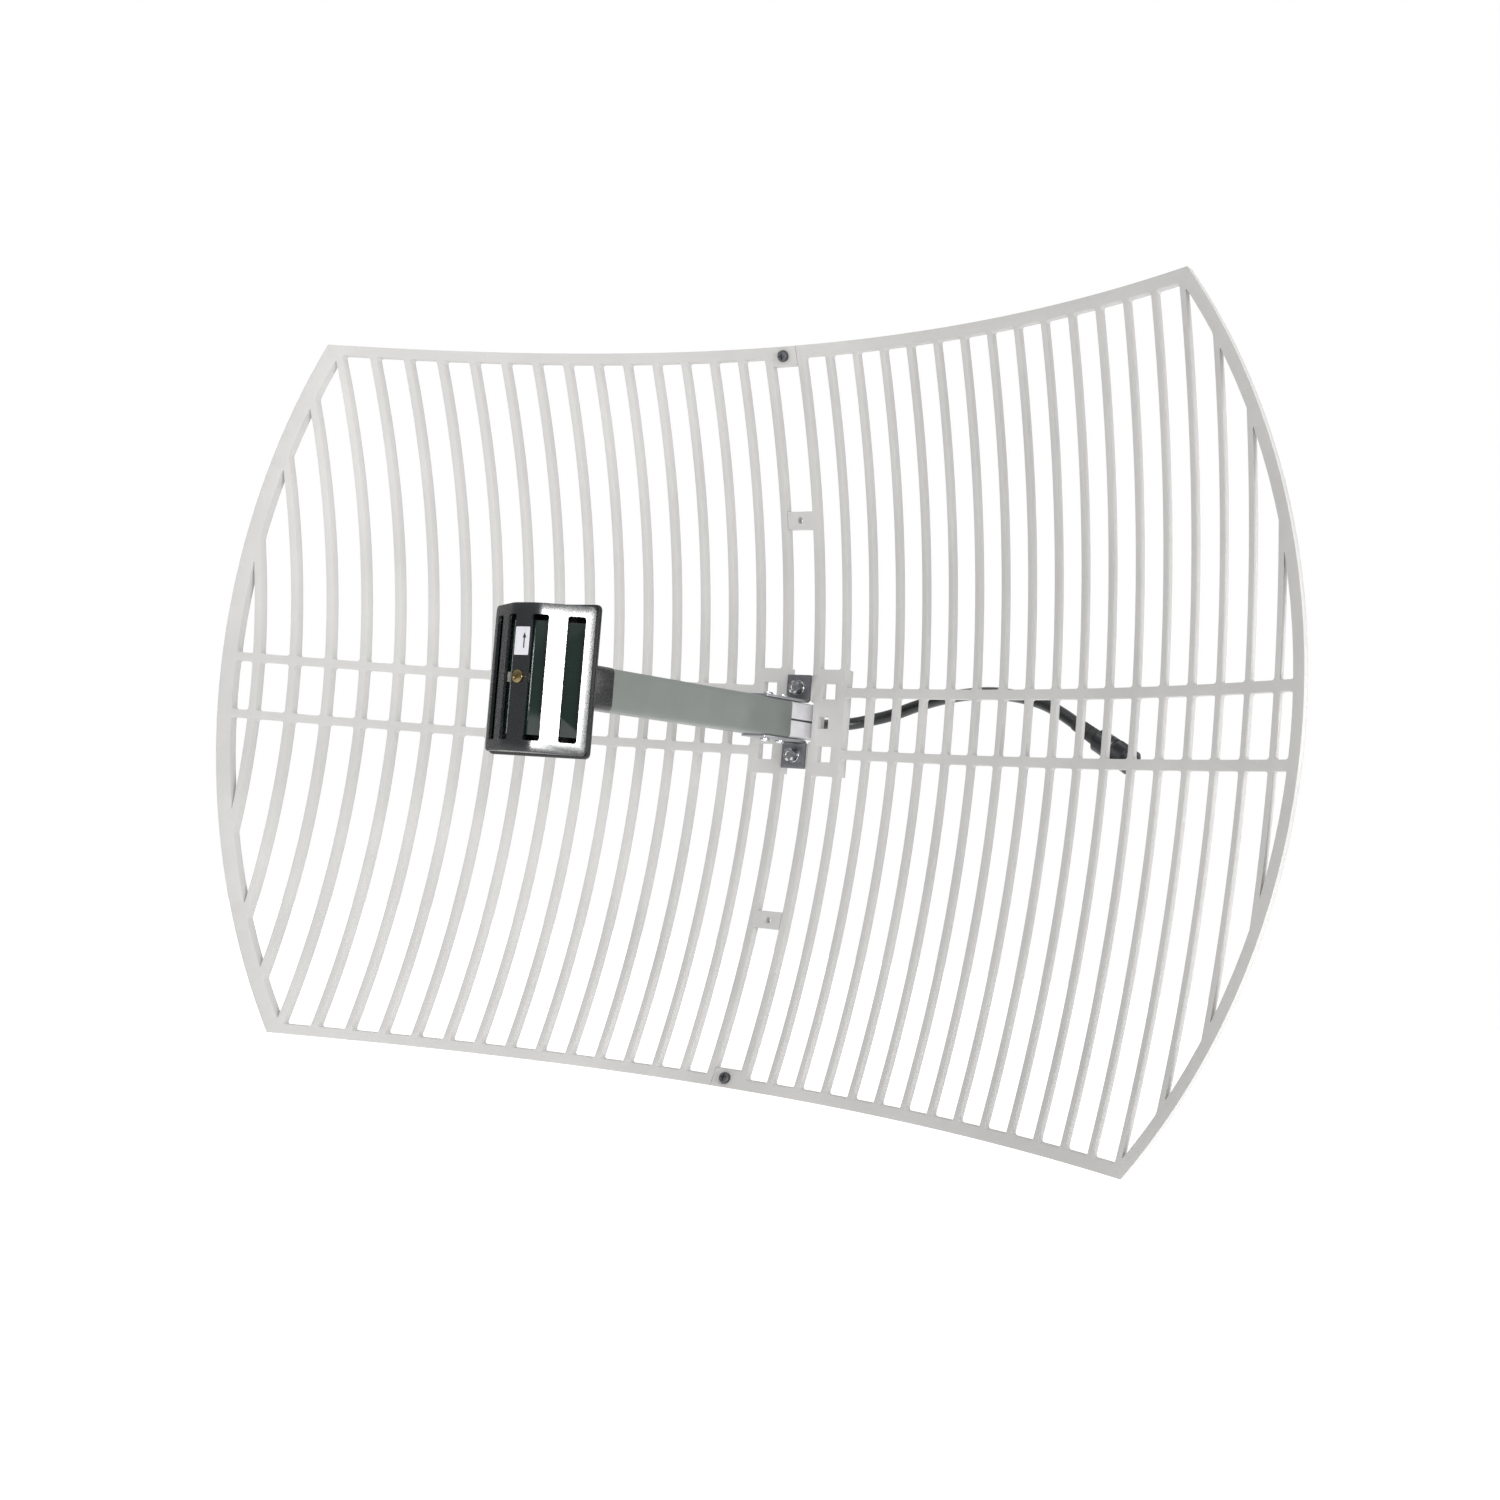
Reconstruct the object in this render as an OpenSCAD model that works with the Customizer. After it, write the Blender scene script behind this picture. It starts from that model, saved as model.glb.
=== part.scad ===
// Parabolic grid antenna: a cast grid reflector in two halves, a boom with a feed head at the
// focus, and a coaxial pigtail that leaves through the back of the hub.
// Boresight is -Y and the polarisation runs along Z. The origin is the centre of the mast face,
// the plane at the back of the hub that a mast bracket is bolted to.

/* [Reflector] */
// Overall width of the reflector along X
dish_w = 1000; // [990:5:1010]
// Overall height of the reflector along Z
dish_h = 600; // [590:5:610]
// Focal length of the paraboloid
focal = 340; // [330:5:350]
// Distance from one rib to the next
rib_pitch = 27; // [26.5:0.1:27.2]
// Width of a rib seen from the front
rib_w = 5; // [4:0.5:6]
// Depth of the casting along the boresight
rib_depth = 7; // [7:0.5:8]
// Width of the curved rim seen from the front
rim_w = 10; // [8:1:12]
// Height of the top and bottom rails
edge_rail_h = 8; // [6:1:10]
// Height of the two middle rails
mid_rail_h = 7.5; // [6:0.5:9]
// Distance of each middle rail from the centre line
mid_rail_z = 25.6; // [25:0.2:26]
// Half of the gap between the two halves
gap_half = 12.5; // [12.5:0.1:13]
// Width of the innermost rib of each half
inner_rib_w = 6.4; // [6:0.2:7]
// Height of the tabs that lap across the gap
tab_h = 14; // [12:1:16]
// Distance of the middle lap tabs from the centre line
lap_z = 165.5; // [150:0.5:180]

/* [Hub] */
// Depth from the dish vertex back to the mast face
hub_depth = 9; // [9:0.5:10]
// Half height of the hub plates
hub_half_h = 44; // [42:1:46]
// Thickness of the hub plate behind the vertex
hub_web = 5; // [4:0.5:6]
// Side of the square holes for the mast bracket bolts
square_hole = 13; // [11:0.5:13]
// Distance of the square holes from the centre along X
square_hole_x = 29.3; // [29:0.1:30]
// Distance of the square holes from the centre along Z
square_hole_z = 26; // [25:0.5:27]

/* [Boom] */
// Width of the boom tube along X
boom_w = 25; // [24:0.5:25]
// Height of the boom tube along Z
boom_h = 30; // [29:0.5:30]
// Wall thickness of the boom tube
boom_wall = 1.5; // [1.2:0.1:2]
// Thickness of the plastic sleeve over the boom
sleeve_t = 0.5; // [0.4:0.1:0.6]

/* [Feed head] */
// Width of the feed head
feed_w = 92; // [88:1:96]
// Height of the slotted front
feed_h = 104; // [102:1:106]
// Distance from the vertex to the front of the feed head
feed_reach = 354; // [352:1:356]
// Angle that each wing of the front is swept back
wing_angle = 32; // [30:1:33]
// Wall thickness of the slotted front
feed_wall = 2.2; // [2:0.1:2.5]

/* [Pigtail] */
// Outer diameter of the coaxial cable
coax_d = 10.3; // [10:0.1:10.4]
// Diameter of the plug's coupling nut
nut_d = 20.4; // [20:0.2:21]
// Angle of the plug below the horizontal
plug_drop = 29; // [29]
// Angle of the plug towards the reflector
plug_yaw = 7; // [7]

/* [Hidden] */

fine = 48;
small = 0.05;          // gap between pieces that sit in each other
running_gap = 0.08;    // between the coupling nut and the spigot it turns on
vertex_y = -hub_depth;
dish_r = dish_w / 2;
rib_count = 17;        // full ribs outside the innermost one of each half
rib_first = gap_half + inner_rib_w / 2;
band_steps = 20;       // cones that make up the paraboloid
band_end = dish_r + 2;
band_step = band_end / band_steps;
far = 260;             // deeper than the dish, for through cuts
lap_half = rib_depth / 2;
lap_gap = 0.1;
tab_end_gap = 0.4;
edge_tab_z = dish_h / 2 - tab_h / 2;
lap_hole_d = 5.4;
m5_d = 5;
m5_nut_h = 4;
lap_screw_len = 14;
lap_seat = 0.05;       // keeps a fastener just clear of the curved casting
lap_back = rib_depth * cos(atan(band_slope(edge_tab_z))) + lap_seat;
lap_washer_t = 1;

hub_x1 = rib_x(1) + rib_w / 2;
hub_ring = 25;         // width of the cones in the hub's face
hub_wall = 4;
boss_w = 16;
boss_x = 25.6;
boss_hole = 10;
notch_x = 14.5;
notch_z = 16.5;

bracket_t = 2;
bracket_w = 23;
bracket_reach = 64;    // leg of the bracket, measured from the vertex
bracket_front = 2.8;   // flange's front face, ahead of the vertex
bracket_z0 = boom_h / 2 + sleeve_t + 0.1;
bracket_z1 = 39;
tongue_t = 3;
tongue_z0 = 17.8;
hub_bolt_z = 28;
m6_d = 6;
m6_clear = 6.6;
m6_across = 10;        // across the flats of the hub bolts' heads and nuts
m6_nut_h = 3.2;
m6_head_h = 4;
hub_washer_t = 1.4;
hub_spring_t = 1.6;
hub_head_z = bracket_front + hub_washer_t + hub_spring_t;
hub_bolt_len = hub_head_z + hub_depth - 0.2;

boom_back = 6;         // end of the tube, behind the vertex
boom_front = 325;      // end of the tube, ahead of the vertex
boom_r = 3;
sleeve_front = 265;
sleeve_back = 29;
neck_wall = 1;
neck_screw_y = 305;    // screws that hold the feed's neck, ahead of the vertex
m3_d = 3;
m4_d = 4;
m4_clear = 4.4;
screw_stations = [24, 46];

plate_back = 325;      // back face of the feed housing, ahead of the vertex
plate_t = 3;
plate_h = 108;
gasket_t = 1;
shell_back = plate_back + plate_t + gasket_t;
wing_r = 18;           // outside radius of the bend between the middle and a wing
wing_flat = 5;         // half width of the flat middle
slot_z = 44;
slot_r = 1.5;
slot_edges = [[7.2, 18.4], [29.6, 40.4]];
cover_inset = 3.5;
cover_wall = 1.5;
cover_half_h = 40;
strap_inset = 2.5;
strap_t = 0.8;
strap_h = 7;
strap_reach = 23;
cover_screw_x = 38;
cover_screw_z = 47;
dipole_reach = focal;
dipole_arm = 27;
dipole_d = 5;
balun_d = 8;
balun_front = 343;
coax_front = 331;

relief_len = 25;
boot_len = 24;
body_len = 17;
nut_len = 20;
nut_start = boot_len + body_len + 0.3;
thread_r = 7.9;        // inside of the nut, a 5/8 inch connector thread
collar_r = 7.6;
spigot_r = 6.2;
contact_r = 3.6;
socket_r = 3;          // bore of the outer contact
pin_r = 1.5;
plug_at = [232, 37, 11];
plug_axis = [
    cos(plug_drop) * cos(plug_yaw),
    -cos(plug_drop) * sin(plug_yaw),
    -sin(plug_drop)
];

// Middle of the free cable, from the end of the strain relief to the plug's boot.
cord_route = [
    [0, relief_len, 0], [0, 33, 0.5], [1.5, 42, 1.5], [6, 52, 3], [13.5, 61.5, 5.5],
    [23, 69, 9], [34, 73.5, 12.5], [46, 75, 16.5], [62, 74, 22], [80, 71.5, 27],
    [100, 67.5, 31], [121, 62.5, 33.5], [143, 57, 34.5], [164, 51, 33], [184, 45.5, 30],
    [202, 41.5, 25.5], [217, 39, 19], plug_at
];
cord_sides = 10;

function rib_x(k) = rib_first + k * rib_pitch;
function half_w(k) = (k == 0 ? inner_rib_w : rib_w) / 2;
function dish_depth(r) = r * r / (4 * focal);

// Start, slope and depth of the cone that stands for the paraboloid at radius r.
function band_start(r) = floor(r / band_step) * band_step;
function band_slope(r) = (2 * band_start(r) + band_step) / (4 * focal);
function band_depth(r) = dish_depth(band_start(r)) + (r - band_start(r)) * band_slope(r);

// Turns a shape drawn with the boresight along its own Z into the antenna's frame.
module along_boresight() {
    translate([0, vertex_y, 0]) rotate([90, 0, 0]) children();
}

// ---- Reflector ----

// Shell of revolution between two depths behind the paraboloid.
module dish_band(front, back) {
    radii = [for (i = [0 : band_steps]) i * band_step];
    outer = [for (r = radii) [r, dish_depth(r) - front]];
    inner = [for (i = [band_steps : -1 : 0]) [radii[i], dish_depth(radii[i]) - back]];
    rotate_extrude($fn = 180) polygon(concat(outer, inner));
}

module dish_column(x0, x1, z0, z1) {
    translate([x0, z0, -far / 2]) cube([x1 - x0, z1 - z0, far * 1.5]);
}

// The windows between rib k and the next one, above, between and below the middle rails.
// The hub plate fills the middle of the first bay, and the rim closes the last one.
module rib_windows(k) {
    x0 = rib_x(k) + half_w(k);
    x1 = k < rib_count ? rib_x(k + 1) - rib_w / 2 : dish_r;
    z_end = dish_h / 2 - edge_rail_h;
    z_mid = k == 0 ? hub_half_h : mid_rail_z + mid_rail_h / 2;
    z_in = mid_rail_z - mid_rail_h / 2;
    for (z0 = [-z_end, z_mid])
        translate([x0, z0]) square([x1 - x0, z_end - z_mid]);
    if (k > 0)
        translate([x0, -z_in]) square([x1 - x0, 2 * z_in]);
}

// Front view of the right half, with its tabs across the gap.
module half_outline() {
    difference() {
        intersection() {
            circle(r = dish_r, $fn = 180);
            translate([gap_half, -dish_h / 2]) square([dish_r, dish_h]);
        }
        intersection() {
            circle(r = dish_r - rim_w, $fn = 180);
            for (k = [0 : rib_count]) rib_windows(k);
        }
    }
    for (z = [-edge_tab_z, -lap_z, lap_z, edge_tab_z])
        translate([tab_end_gap - gap_half, z - tab_h / 2]) square([2 * gap_half, tab_h]);
}

// Square-necked bolt hole for the mast bracket.
module square_hole_at(x, z, side) {
    translate([x - side / 2, z - side / 2, -far / 2]) cube([side, side, far]);
}

// The plate between the first two ribs, with a raised wall and boss on its back.
module hub_plate() {
    pocket_x0 = gap_half + inner_rib_w;
    pocket_x1 = hub_x1 - rib_w;
    difference() {
        intersection() {
            rotate_extrude($fn = 180) polygon([
                for (r = [0 : hub_ring : 3 * hub_ring]) [r, dish_depth(r)],
                [3 * hub_ring, -hub_depth], [0, -hub_depth]
            ]);
            dish_column(gap_half, hub_x1, -hub_half_h, hub_half_h);
        }
        difference() {
            translate([pocket_x0, hub_wall - hub_half_h, -hub_depth - 1])
                cube([pocket_x1 - pocket_x0, 2 * (hub_half_h - hub_wall), hub_depth + 1 - hub_web]);
            translate([boss_x, 0, -hub_depth]) cube([boss_w, boss_w, 3 * hub_depth], center = true);
        }
    }
}

// Tongues behind the boom brackets: the upper one in front, the lower one behind.
module hub_tongues() {
    tongue_h = bracket_z1 - tongue_z0;
    front = bracket_front - bracket_t;
    translate([tab_end_gap - gap_half, tongue_z0, front - tongue_t + lap_gap])
        cube([2 * gap_half, tongue_h, tongue_t - lap_gap]);
    translate([tab_end_gap - gap_half, -bracket_z1, front - 2 * tongue_t])
        cube([2 * gap_half, tongue_h, tongue_t - lap_gap]);
}

// Where a tab laps over its neighbour, it keeps only the front or the back half of its depth.
module lap_cut(z, front_half) {
    intersection() {
        if (front_half) dish_band(lap_half - lap_gap, far);
        else dish_band(-far / 4, lap_half);
        dish_column(-gap_half, gap_half, z - tab_h / 2 - 1, z + tab_h / 2 + 1);
    }
}

// Stands children square to the casting's face at height z on the gap's centre line.
module square_to_dish(z) {
    r = abs(z);
    translate([0, z, band_depth(r)]) rotate([sign(z) * atan(band_slope(r)), 0, 0]) children();
}

module reflector_half() {
    difference() {
        union() {
            intersection() {
                dish_band(0, rib_depth);
                translate([0, 0, -far / 2]) linear_extrude(far * 1.5) half_outline();
            }
            hub_plate();
            hub_tongues();
        }
        lap_cut(-edge_tab_z, true);
        lap_cut(lap_z, true);
        lap_cut(edge_tab_z, false);
        lap_cut(-lap_z, false);
        for (z = [-edge_tab_z, -lap_z, lap_z, edge_tab_z])
            square_to_dish(z)
                cylinder(h = 6 * rib_depth, d = lap_hole_d, center = true, $fn = fine);
        for (s = [-1, 1]) {
            square_hole_at(square_hole_x, s * square_hole_z, square_hole);
            translate([0, s * hub_bolt_z, 0])
                cylinder(h = 40, d = m6_clear, center = true, $fn = fine);
        }
        square_hole_at(boss_x, 0, boss_hole);
        dish_column(0, notch_x, -notch_z, notch_z);
    }
}

module reflector_right() {
    color("gainsboro") along_boresight() reflector_half();
}

module reflector_left() {
    color("gainsboro") along_boresight() rotate([0, 0, 180]) reflector_half();
}

// ---- Fasteners ----

module hex_prism(across, h) {
    cylinder(h = h, d = across / cos(30), $fn = 6);
}

module washer(d, hole, h) {
    difference() {
        cylinder(h = h, d = d, $fn = fine);
        translate([0, 0, -1]) cylinder(h = h + 2, d = hole, $fn = fine);
    }
}

// Pan head on the plane z = 0 with its shank below, and a cross recess.
module pan_screw(d, head_d, head_h, len) {
    difference() {
        union() {
            translate([0, 0, -len]) cylinder(h = len + head_h / 2, d = d, $fn = fine);
            cylinder(h = head_h * 0.6, d = head_d, $fn = fine);
            translate([0, 0, head_h * 0.6])
                cylinder(h = head_h * 0.4, d1 = head_d, d2 = head_d * 0.7, $fn = fine);
        }
        for (a = [0, 90])
            rotate([0, 0, a]) translate([0, 0, head_h])
                cube([head_d * 0.5, head_d * 0.12, head_h], center = true);
    }
}

module nut(across, hole, h) {
    difference() {
        hex_prism(across, h);
        translate([0, 0, -1]) cylinder(h = h + 2, d = hole, $fn = fine);
    }
}

// Places a fastener on both outer lap tabs, at a height ahead of the casting's face.
module at_lap_screws(ahead) {
    along_boresight() for (z = [-edge_tab_z, edge_tab_z])
        square_to_dish(z) translate([0, 0, ahead]) children();
}

module lap_screws() {
    color("dimgray") at_lap_screws(lap_seat) pan_screw(m5_d, 9.5, 3.6, lap_screw_len);
}

module lap_washers() {
    color("silver") at_lap_screws(-lap_back - lap_washer_t) washer(10, 5.3, lap_washer_t);
}

module lap_nuts() {
    color("silver") at_lap_screws(-lap_back - lap_washer_t - m5_nut_h)
        nut(8, m5_d + 2 * small, m5_nut_h);
}

// Places a fastener on each hub bolt's axis, at a height ahead of the vertex.
module at_hub_bolts(ahead) {
    along_boresight() for (s = [-1, 1])
        translate([0, s * hub_bolt_z, ahead]) children();
}

module hub_bolts() {
    color("silver") at_hub_bolts(hub_head_z) {
        hex_prism(m6_across, m6_head_h);
        translate([0, 0, -hub_bolt_len]) cylinder(h = hub_bolt_len + 1, d = m6_d, $fn = fine);
    }
}

module hub_washers() {
    color("silver") at_hub_bolts(bracket_front) washer(12.5, 6.4, hub_washer_t);
}

// Split spring washers.
module hub_spring_washers() {
    color("gray") at_hub_bolts(bracket_front + hub_washer_t) difference() {
        washer(10.6, 6.2, hub_spring_t);
        rotate([0, 0, 35]) translate([0, -0.5, -1]) cube([8, 1, hub_spring_t + 2]);
    }
}

module hub_nuts() {
    color("silver") at_hub_bolts(bracket_front - bracket_t - 2 * tongue_t - m6_nut_h)
        nut(m6_across, m6_d + 2 * small, m6_nut_h);
}

// ---- Boom ----

module round_rect(w, h, r) {
    square([w - 2 * r, h], center = true);
    square([w, h - 2 * r], center = true);
    for (x = [-1, 1], y = [-1, 1])
        translate([x * (w / 2 - r), y * (h / 2 - r)]) circle(r = r, $fn = fine);
}

// Hollow length of rounded section, between two distances ahead of the vertex.
module boom_length(from, to, w, h, r, wall) {
    along_boresight() translate([0, 0, from]) linear_extrude(to - from) difference() {
        round_rect(w, h, r);
        round_rect(w - 2 * wall, h - 2 * wall, max(r - wall, 0.4));
    }
}

// The four screws that hold the bracket legs to the boom: children sit on the leg's outside.
module at_bracket_screws(sides) {
    for (s = sides, y = screw_stations)
        translate([0, vertex_y - y, s * (bracket_z0 + bracket_t)])
            rotate([s > 0 ? 0 : 180, 0, 0]) children();
}

module boom_tube() {
    groove = 1.8;
    color("lightgray") difference() {
        boom_length(-boom_back, boom_front, boom_w, boom_h, boom_r, boom_wall);
        for (s = [-1, 1])
            translate([s * boom_w / 2, vertex_y, 0]) cube([groove, 4 * boom_front, 1.4], center = true);
        at_bracket_screws([-1, 1]) cylinder(h = 14, d = m4_d + 2 * small, center = true, $fn = fine);
        for (s = [-1, 1])
            translate([0, vertex_y - neck_screw_y, 0]) rotate([0, s * 90, 0])
                cylinder(h = boom_w, d = m3_d + 2 * small, $fn = fine);
    }
}

module boom_sleeve() {
    color([0.47, 0.53, 0.50]) difference() {
        boom_length(sleeve_back, sleeve_front, boom_w + 2 * sleeve_t, boom_h + 2 * sleeve_t,
            boom_r + sleeve_t, sleeve_t - small);
        at_bracket_screws([-1, 1]) cylinder(h = 14, d = 4.6, center = true, $fn = fine);
    }
}

// Folded strap: a flange on the hub and a leg along the boom.
module boom_bracket() {
    bend = bracket_t * 2;
    flange_y = vertex_y - bracket_front;
    bend_y = flange_y + bracket_t - bend;
    difference() {
        translate([-bracket_w / 2, 0, 0]) rotate([90, 0, 90]) linear_extrude(bracket_w) {
            translate([vertex_y - bracket_reach, bracket_z0])
                square([bend_y - vertex_y + bracket_reach, bracket_t]);
            translate([flange_y, bracket_z0 + bend])
                square([bracket_t, bracket_z1 - bracket_z0 - bend]);
            translate([bend_y, bracket_z0 + bend]) difference() {
                intersection() {
                    circle(r = bend, $fn = fine);
                    translate([0, -bend]) square(bend);
                }
                circle(r = bend - bracket_t, $fn = fine);
            }
        }
        translate([0, vertex_y, hub_bolt_z]) rotate([90, 0, 0])
            cylinder(h = 20, d = m6_clear, center = true, $fn = fine);
        at_bracket_screws([1]) cylinder(h = 10, d = m4_clear, center = true, $fn = fine);
    }
}

module upper_boom_bracket() {
    color("dimgray") boom_bracket();
}

module lower_boom_bracket() {
    color("dimgray") rotate([0, 180, 0]) boom_bracket();
}

module bracket_screws() {
    color("silver") at_bracket_screws([-1, 1]) pan_screw(m4_d, 8, 2.8, 8);
}

// Rubber plug in the end of the tube, with a tapered relief for the cable.
module boom_grommet() {
    stem = 10;
    stem_w = boom_w - 2 * (boom_wall + small);
    stem_h = boom_h - 2 * (boom_wall + small);
    color([0.12, 0.12, 0.12]) difference() {
        union() {
            along_boresight() translate([0, 0, -hub_depth]) linear_extrude(hub_depth - boom_back)
                round_rect(boom_w - 1, boom_h - 1, boom_r);
            along_boresight() translate([0, 0, -boom_back]) linear_extrude(stem)
                round_rect(stem_w, stem_h, boom_r - boom_wall);
            rotate([-90, 0, 0]) cylinder(h = relief_len, d1 = 19, d2 = 13, $fn = fine);
        }
        rotate([-90, 0, 0]) cylinder(h = 100, d = coax_d + 2 * small, center = true, $fn = fine);
    }
}

// ---- Feed head ----

// Plan of the feed front: a flat middle, a bend each side, and wings swept back. It ends a
// distance behind the gasket face.
module feed_plan(inset, behind) {
    r = wing_r - inset;
    yc = wing_r - feed_reach;
    tan_x = wing_flat + r * sin(wing_angle);
    tan_y = yc - r * cos(wing_angle);
    side = feed_w / 2 - inset;
    side_y = tan_y + (side - tan_x) * tan(wing_angle);
    back = behind - shell_back;
    polygon([
        [-side, back], [-side, side_y], [-tan_x, tan_y], [-wing_flat, yc - r],
        [wing_flat, yc - r], [tan_x, tan_y], [side, side_y], [side, back]
    ]);
    for (s = [-1, 1])
        intersection() {
            translate([s * wing_flat, yc]) circle(r = r, $fn = fine);
            translate([s * wing_flat - r, yc - r]) square([2 * r, r]);
        }
}

// A length of that plan, centred on the boresight and open at the back.
module feed_shell(inset, wall, h) {
    translate([0, vertex_y, 0]) difference() {
        translate([0, 0, -h / 2]) linear_extrude(h) feed_plan(inset, 0);
        translate([0, 0, wall - h / 2]) linear_extrude(h - 2 * wall)
            feed_plan(inset + wall, plate_t);
    }
}

// Clearance for the terminal screw through the middle bar.
module terminal_hole() {
    along_boresight() translate([0, 0, feed_reach])
        cylinder(h = 20, d = m4_clear, center = true, $fn = fine);
}

module at_cover_screws(ahead) {
    along_boresight() for (x = [-1, 1], z = [-1, 1])
        translate([x * cover_screw_x, z * cover_screw_z, ahead]) children();
}

module feed_front() {
    color([0.13, 0.16, 0.16]) difference() {
        union() {
            feed_shell(0, feed_wall, feed_h);
            at_cover_screws(shell_back) cylinder(h = 5, d = 6, $fn = fine);
        }
        along_boresight() for (s = [-1, 1], e = slot_edges)
            translate([s * (e[0] + e[1]) / 2, 0, shell_back + 1])
                linear_extrude(40) round_rect(e[1] - e[0], 2 * slot_z, slot_r);
        at_cover_screws(shell_back - 1) cylinder(h = 5.2, d = m3_d + 2 * small, $fn = fine);
        terminal_hole();
    }
}

module feed_back_housing() {
    w = boom_w + 2 * neck_wall + 2 * small;
    h = boom_h + 2 * neck_wall + 2 * small;
    color([0.10, 0.11, 0.11]) difference() {
        union() {
            boom_length(sleeve_front, plate_back + 1, w, h, boom_r + neck_wall, neck_wall);
            along_boresight() translate([0, 0, plate_back]) linear_extrude(plate_t)
                round_rect(feed_w, plate_h, 4);
        }
        along_boresight() cylinder(h = 800, d = coax_d + 2 * small, $fn = fine);
        at_cover_screws(plate_back - 1) cylinder(h = plate_t + 2, d = 3.4, $fn = fine);
        for (s = [-1, 1])
            translate([0, vertex_y - neck_screw_y, 0]) rotate([0, s * 90, 0])
                cylinder(h = boom_w, d = 3.4, $fn = fine);
    }
}

module feed_neck_screws() {
    color("dimgray") for (s = [-1, 1])
        translate([s * (boom_w / 2 + neck_wall + small), vertex_y - neck_screw_y, 0])
            rotate([0, s * 90, 0]) pan_screw(m3_d, 5.6, 2, 5);
}

module feed_gasket() {
    rim = 2;
    color("black") along_boresight() translate([0, 0, plate_back + plate_t])
        linear_extrude(gasket_t) difference() {
            square([feed_w, feed_h], center = true);
            square([feed_w - 2 * rim, feed_h - 2 * rim], center = true);
        }
}

module feed_cover_screws() {
    color("dimgray") along_boresight() for (x = [-1, 1], z = [-1, 1])
        translate([x * cover_screw_x, z * cover_screw_z, plate_back])
            rotate([180, 0, 0]) pan_screw(m3_d, 5.6, 2, plate_t + gasket_t + 4);
}

// Inner radome that closes the back of the slots round the dipole.
module dipole_cover() {
    color([0.05, 0.10, 0.08]) difference() {
        feed_shell(cover_inset, cover_wall, 2 * cover_half_h);
        terminal_hole();
    }
}

// Two rods in line, one each side of the feed point.
module dipole_arms() {
    color("peru") for (s = [0, 180])
        translate([0, vertex_y - dipole_reach, 0]) rotate([0, s, 0])
            difference() {
                cylinder(h = balun_d / 2 + dipole_arm, d = dipole_d, $fn = fine);
                rotate([90, 0, 0]) cylinder(h = 20, d = balun_d + 2 * small, center = true, $fn = fine);
            }
}

module balun_tube() {
    color("burlywood") along_boresight() difference() {
        translate([0, 0, coax_front]) cylinder(h = balun_front - coax_front, d = balun_d, $fn = fine);
        translate([0, 0, coax_front + 2]) cylinder(h = 40, d = m4_d + 2 * small, $fn = fine);
    }
}

// Strap behind the middle bar, bent to the same plan as the front.
module dipole_strap() {
    color([0.62, 0.62, 0.57]) difference() {
        translate([0, vertex_y, -strap_h / 2]) linear_extrude(strap_h) intersection() {
            difference() {
                feed_plan(strap_inset, 0);
                feed_plan(strap_inset + strap_t, plate_t);
            }
            translate([-strap_reach, -feed_reach]) square([strap_reach + 6.5, 20]);
        }
        terminal_hole();
    }
}

// Slotted brass screw through the middle bar into the balun.
module terminal_screw() {
    head_h = 2.6;
    below = feed_reach - balun_front + 6;
    color("goldenrod") along_boresight() translate([0, 0, feed_reach]) difference() {
        union() {
            cylinder(h = head_h, d = 9, $fn = fine);
            translate([0, 0, -below]) cylinder(h = below + 1, d = m4_d, $fn = fine);
        }
        translate([0, 0, head_h]) cube([12, 1.2, 2.4], center = true);
    }
}

// Label that carries an arrow for the direction of polarisation.
module arrow_label() {
    label_t = 0.3;
    color("white") translate([-6.5, vertex_y - feed_reach - label_t, 15]) cube([13, label_t, 20]);
}

// ---- Coaxial cable and plug ----

module inner_coax() {
    color([0.09, 0.10, 0.10]) translate([0, vertex_y - coax_front, 0]) rotate([-90, 0, 0])
        cylinder(h = coax_front - vertex_y + relief_len, d = coax_d, $fn = fine);
}

function unit(v) = v / norm(v);

// Direction of the route at point i: along the chord between its neighbours, and fixed at
// both ends by the strain relief and by the plug.
function route_dir(p, i) =
    i == 0 ? [0, 1, 0] : i == len(p) - 1 ? plug_axis : unit(p[i + 1] - p[i - 1]);

// Rings stay upright: one axis is level and the other completes the frame.
function ring_points(c, d, r, n) =
    let (u = unit(cross(d, [0, 0, 1])), v = cross(u, d))
    [for (j = [0 : n - 1]) let (a = 360 * j / n) c + r * (cos(a) * u + sin(a) * v)];

module pigtail_cable() {
    n = cord_sides;
    rings = len(cord_route);
    points = [for (i = [0 : rings - 1])
        each ring_points(cord_route[i], route_dir(cord_route, i), coax_d / 2, n)];
    sides = [for (i = [0 : rings - 2], j = [0 : n - 1]) let (a = i * n, k = (j + 1) % n)
        [a + j, a + n + j, a + n + k, a + k]];
    ends = [[for (j = [0 : n - 1]) j], [for (j = [n - 1 : -1 : 0]) (rings - 1) * n + j]];
    color([0.09, 0.10, 0.10]) polyhedron(points = points, faces = concat(sides, ends), convexity = 10);
}

// Turns a shape drawn up its own Z into the plug's line, starting at the boot's mouth.
module along_plug(ahead) {
    translate(plug_at) rotate([0, 90 + plug_drop, -plug_yaw]) translate([0, 0, ahead]) children();
}

module plug_boot() {
    color([0.08, 0.08, 0.09]) along_plug(0) cylinder(h = boot_len, d1 = 11.4, d2 = 13, $fn = fine);
}

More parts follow.
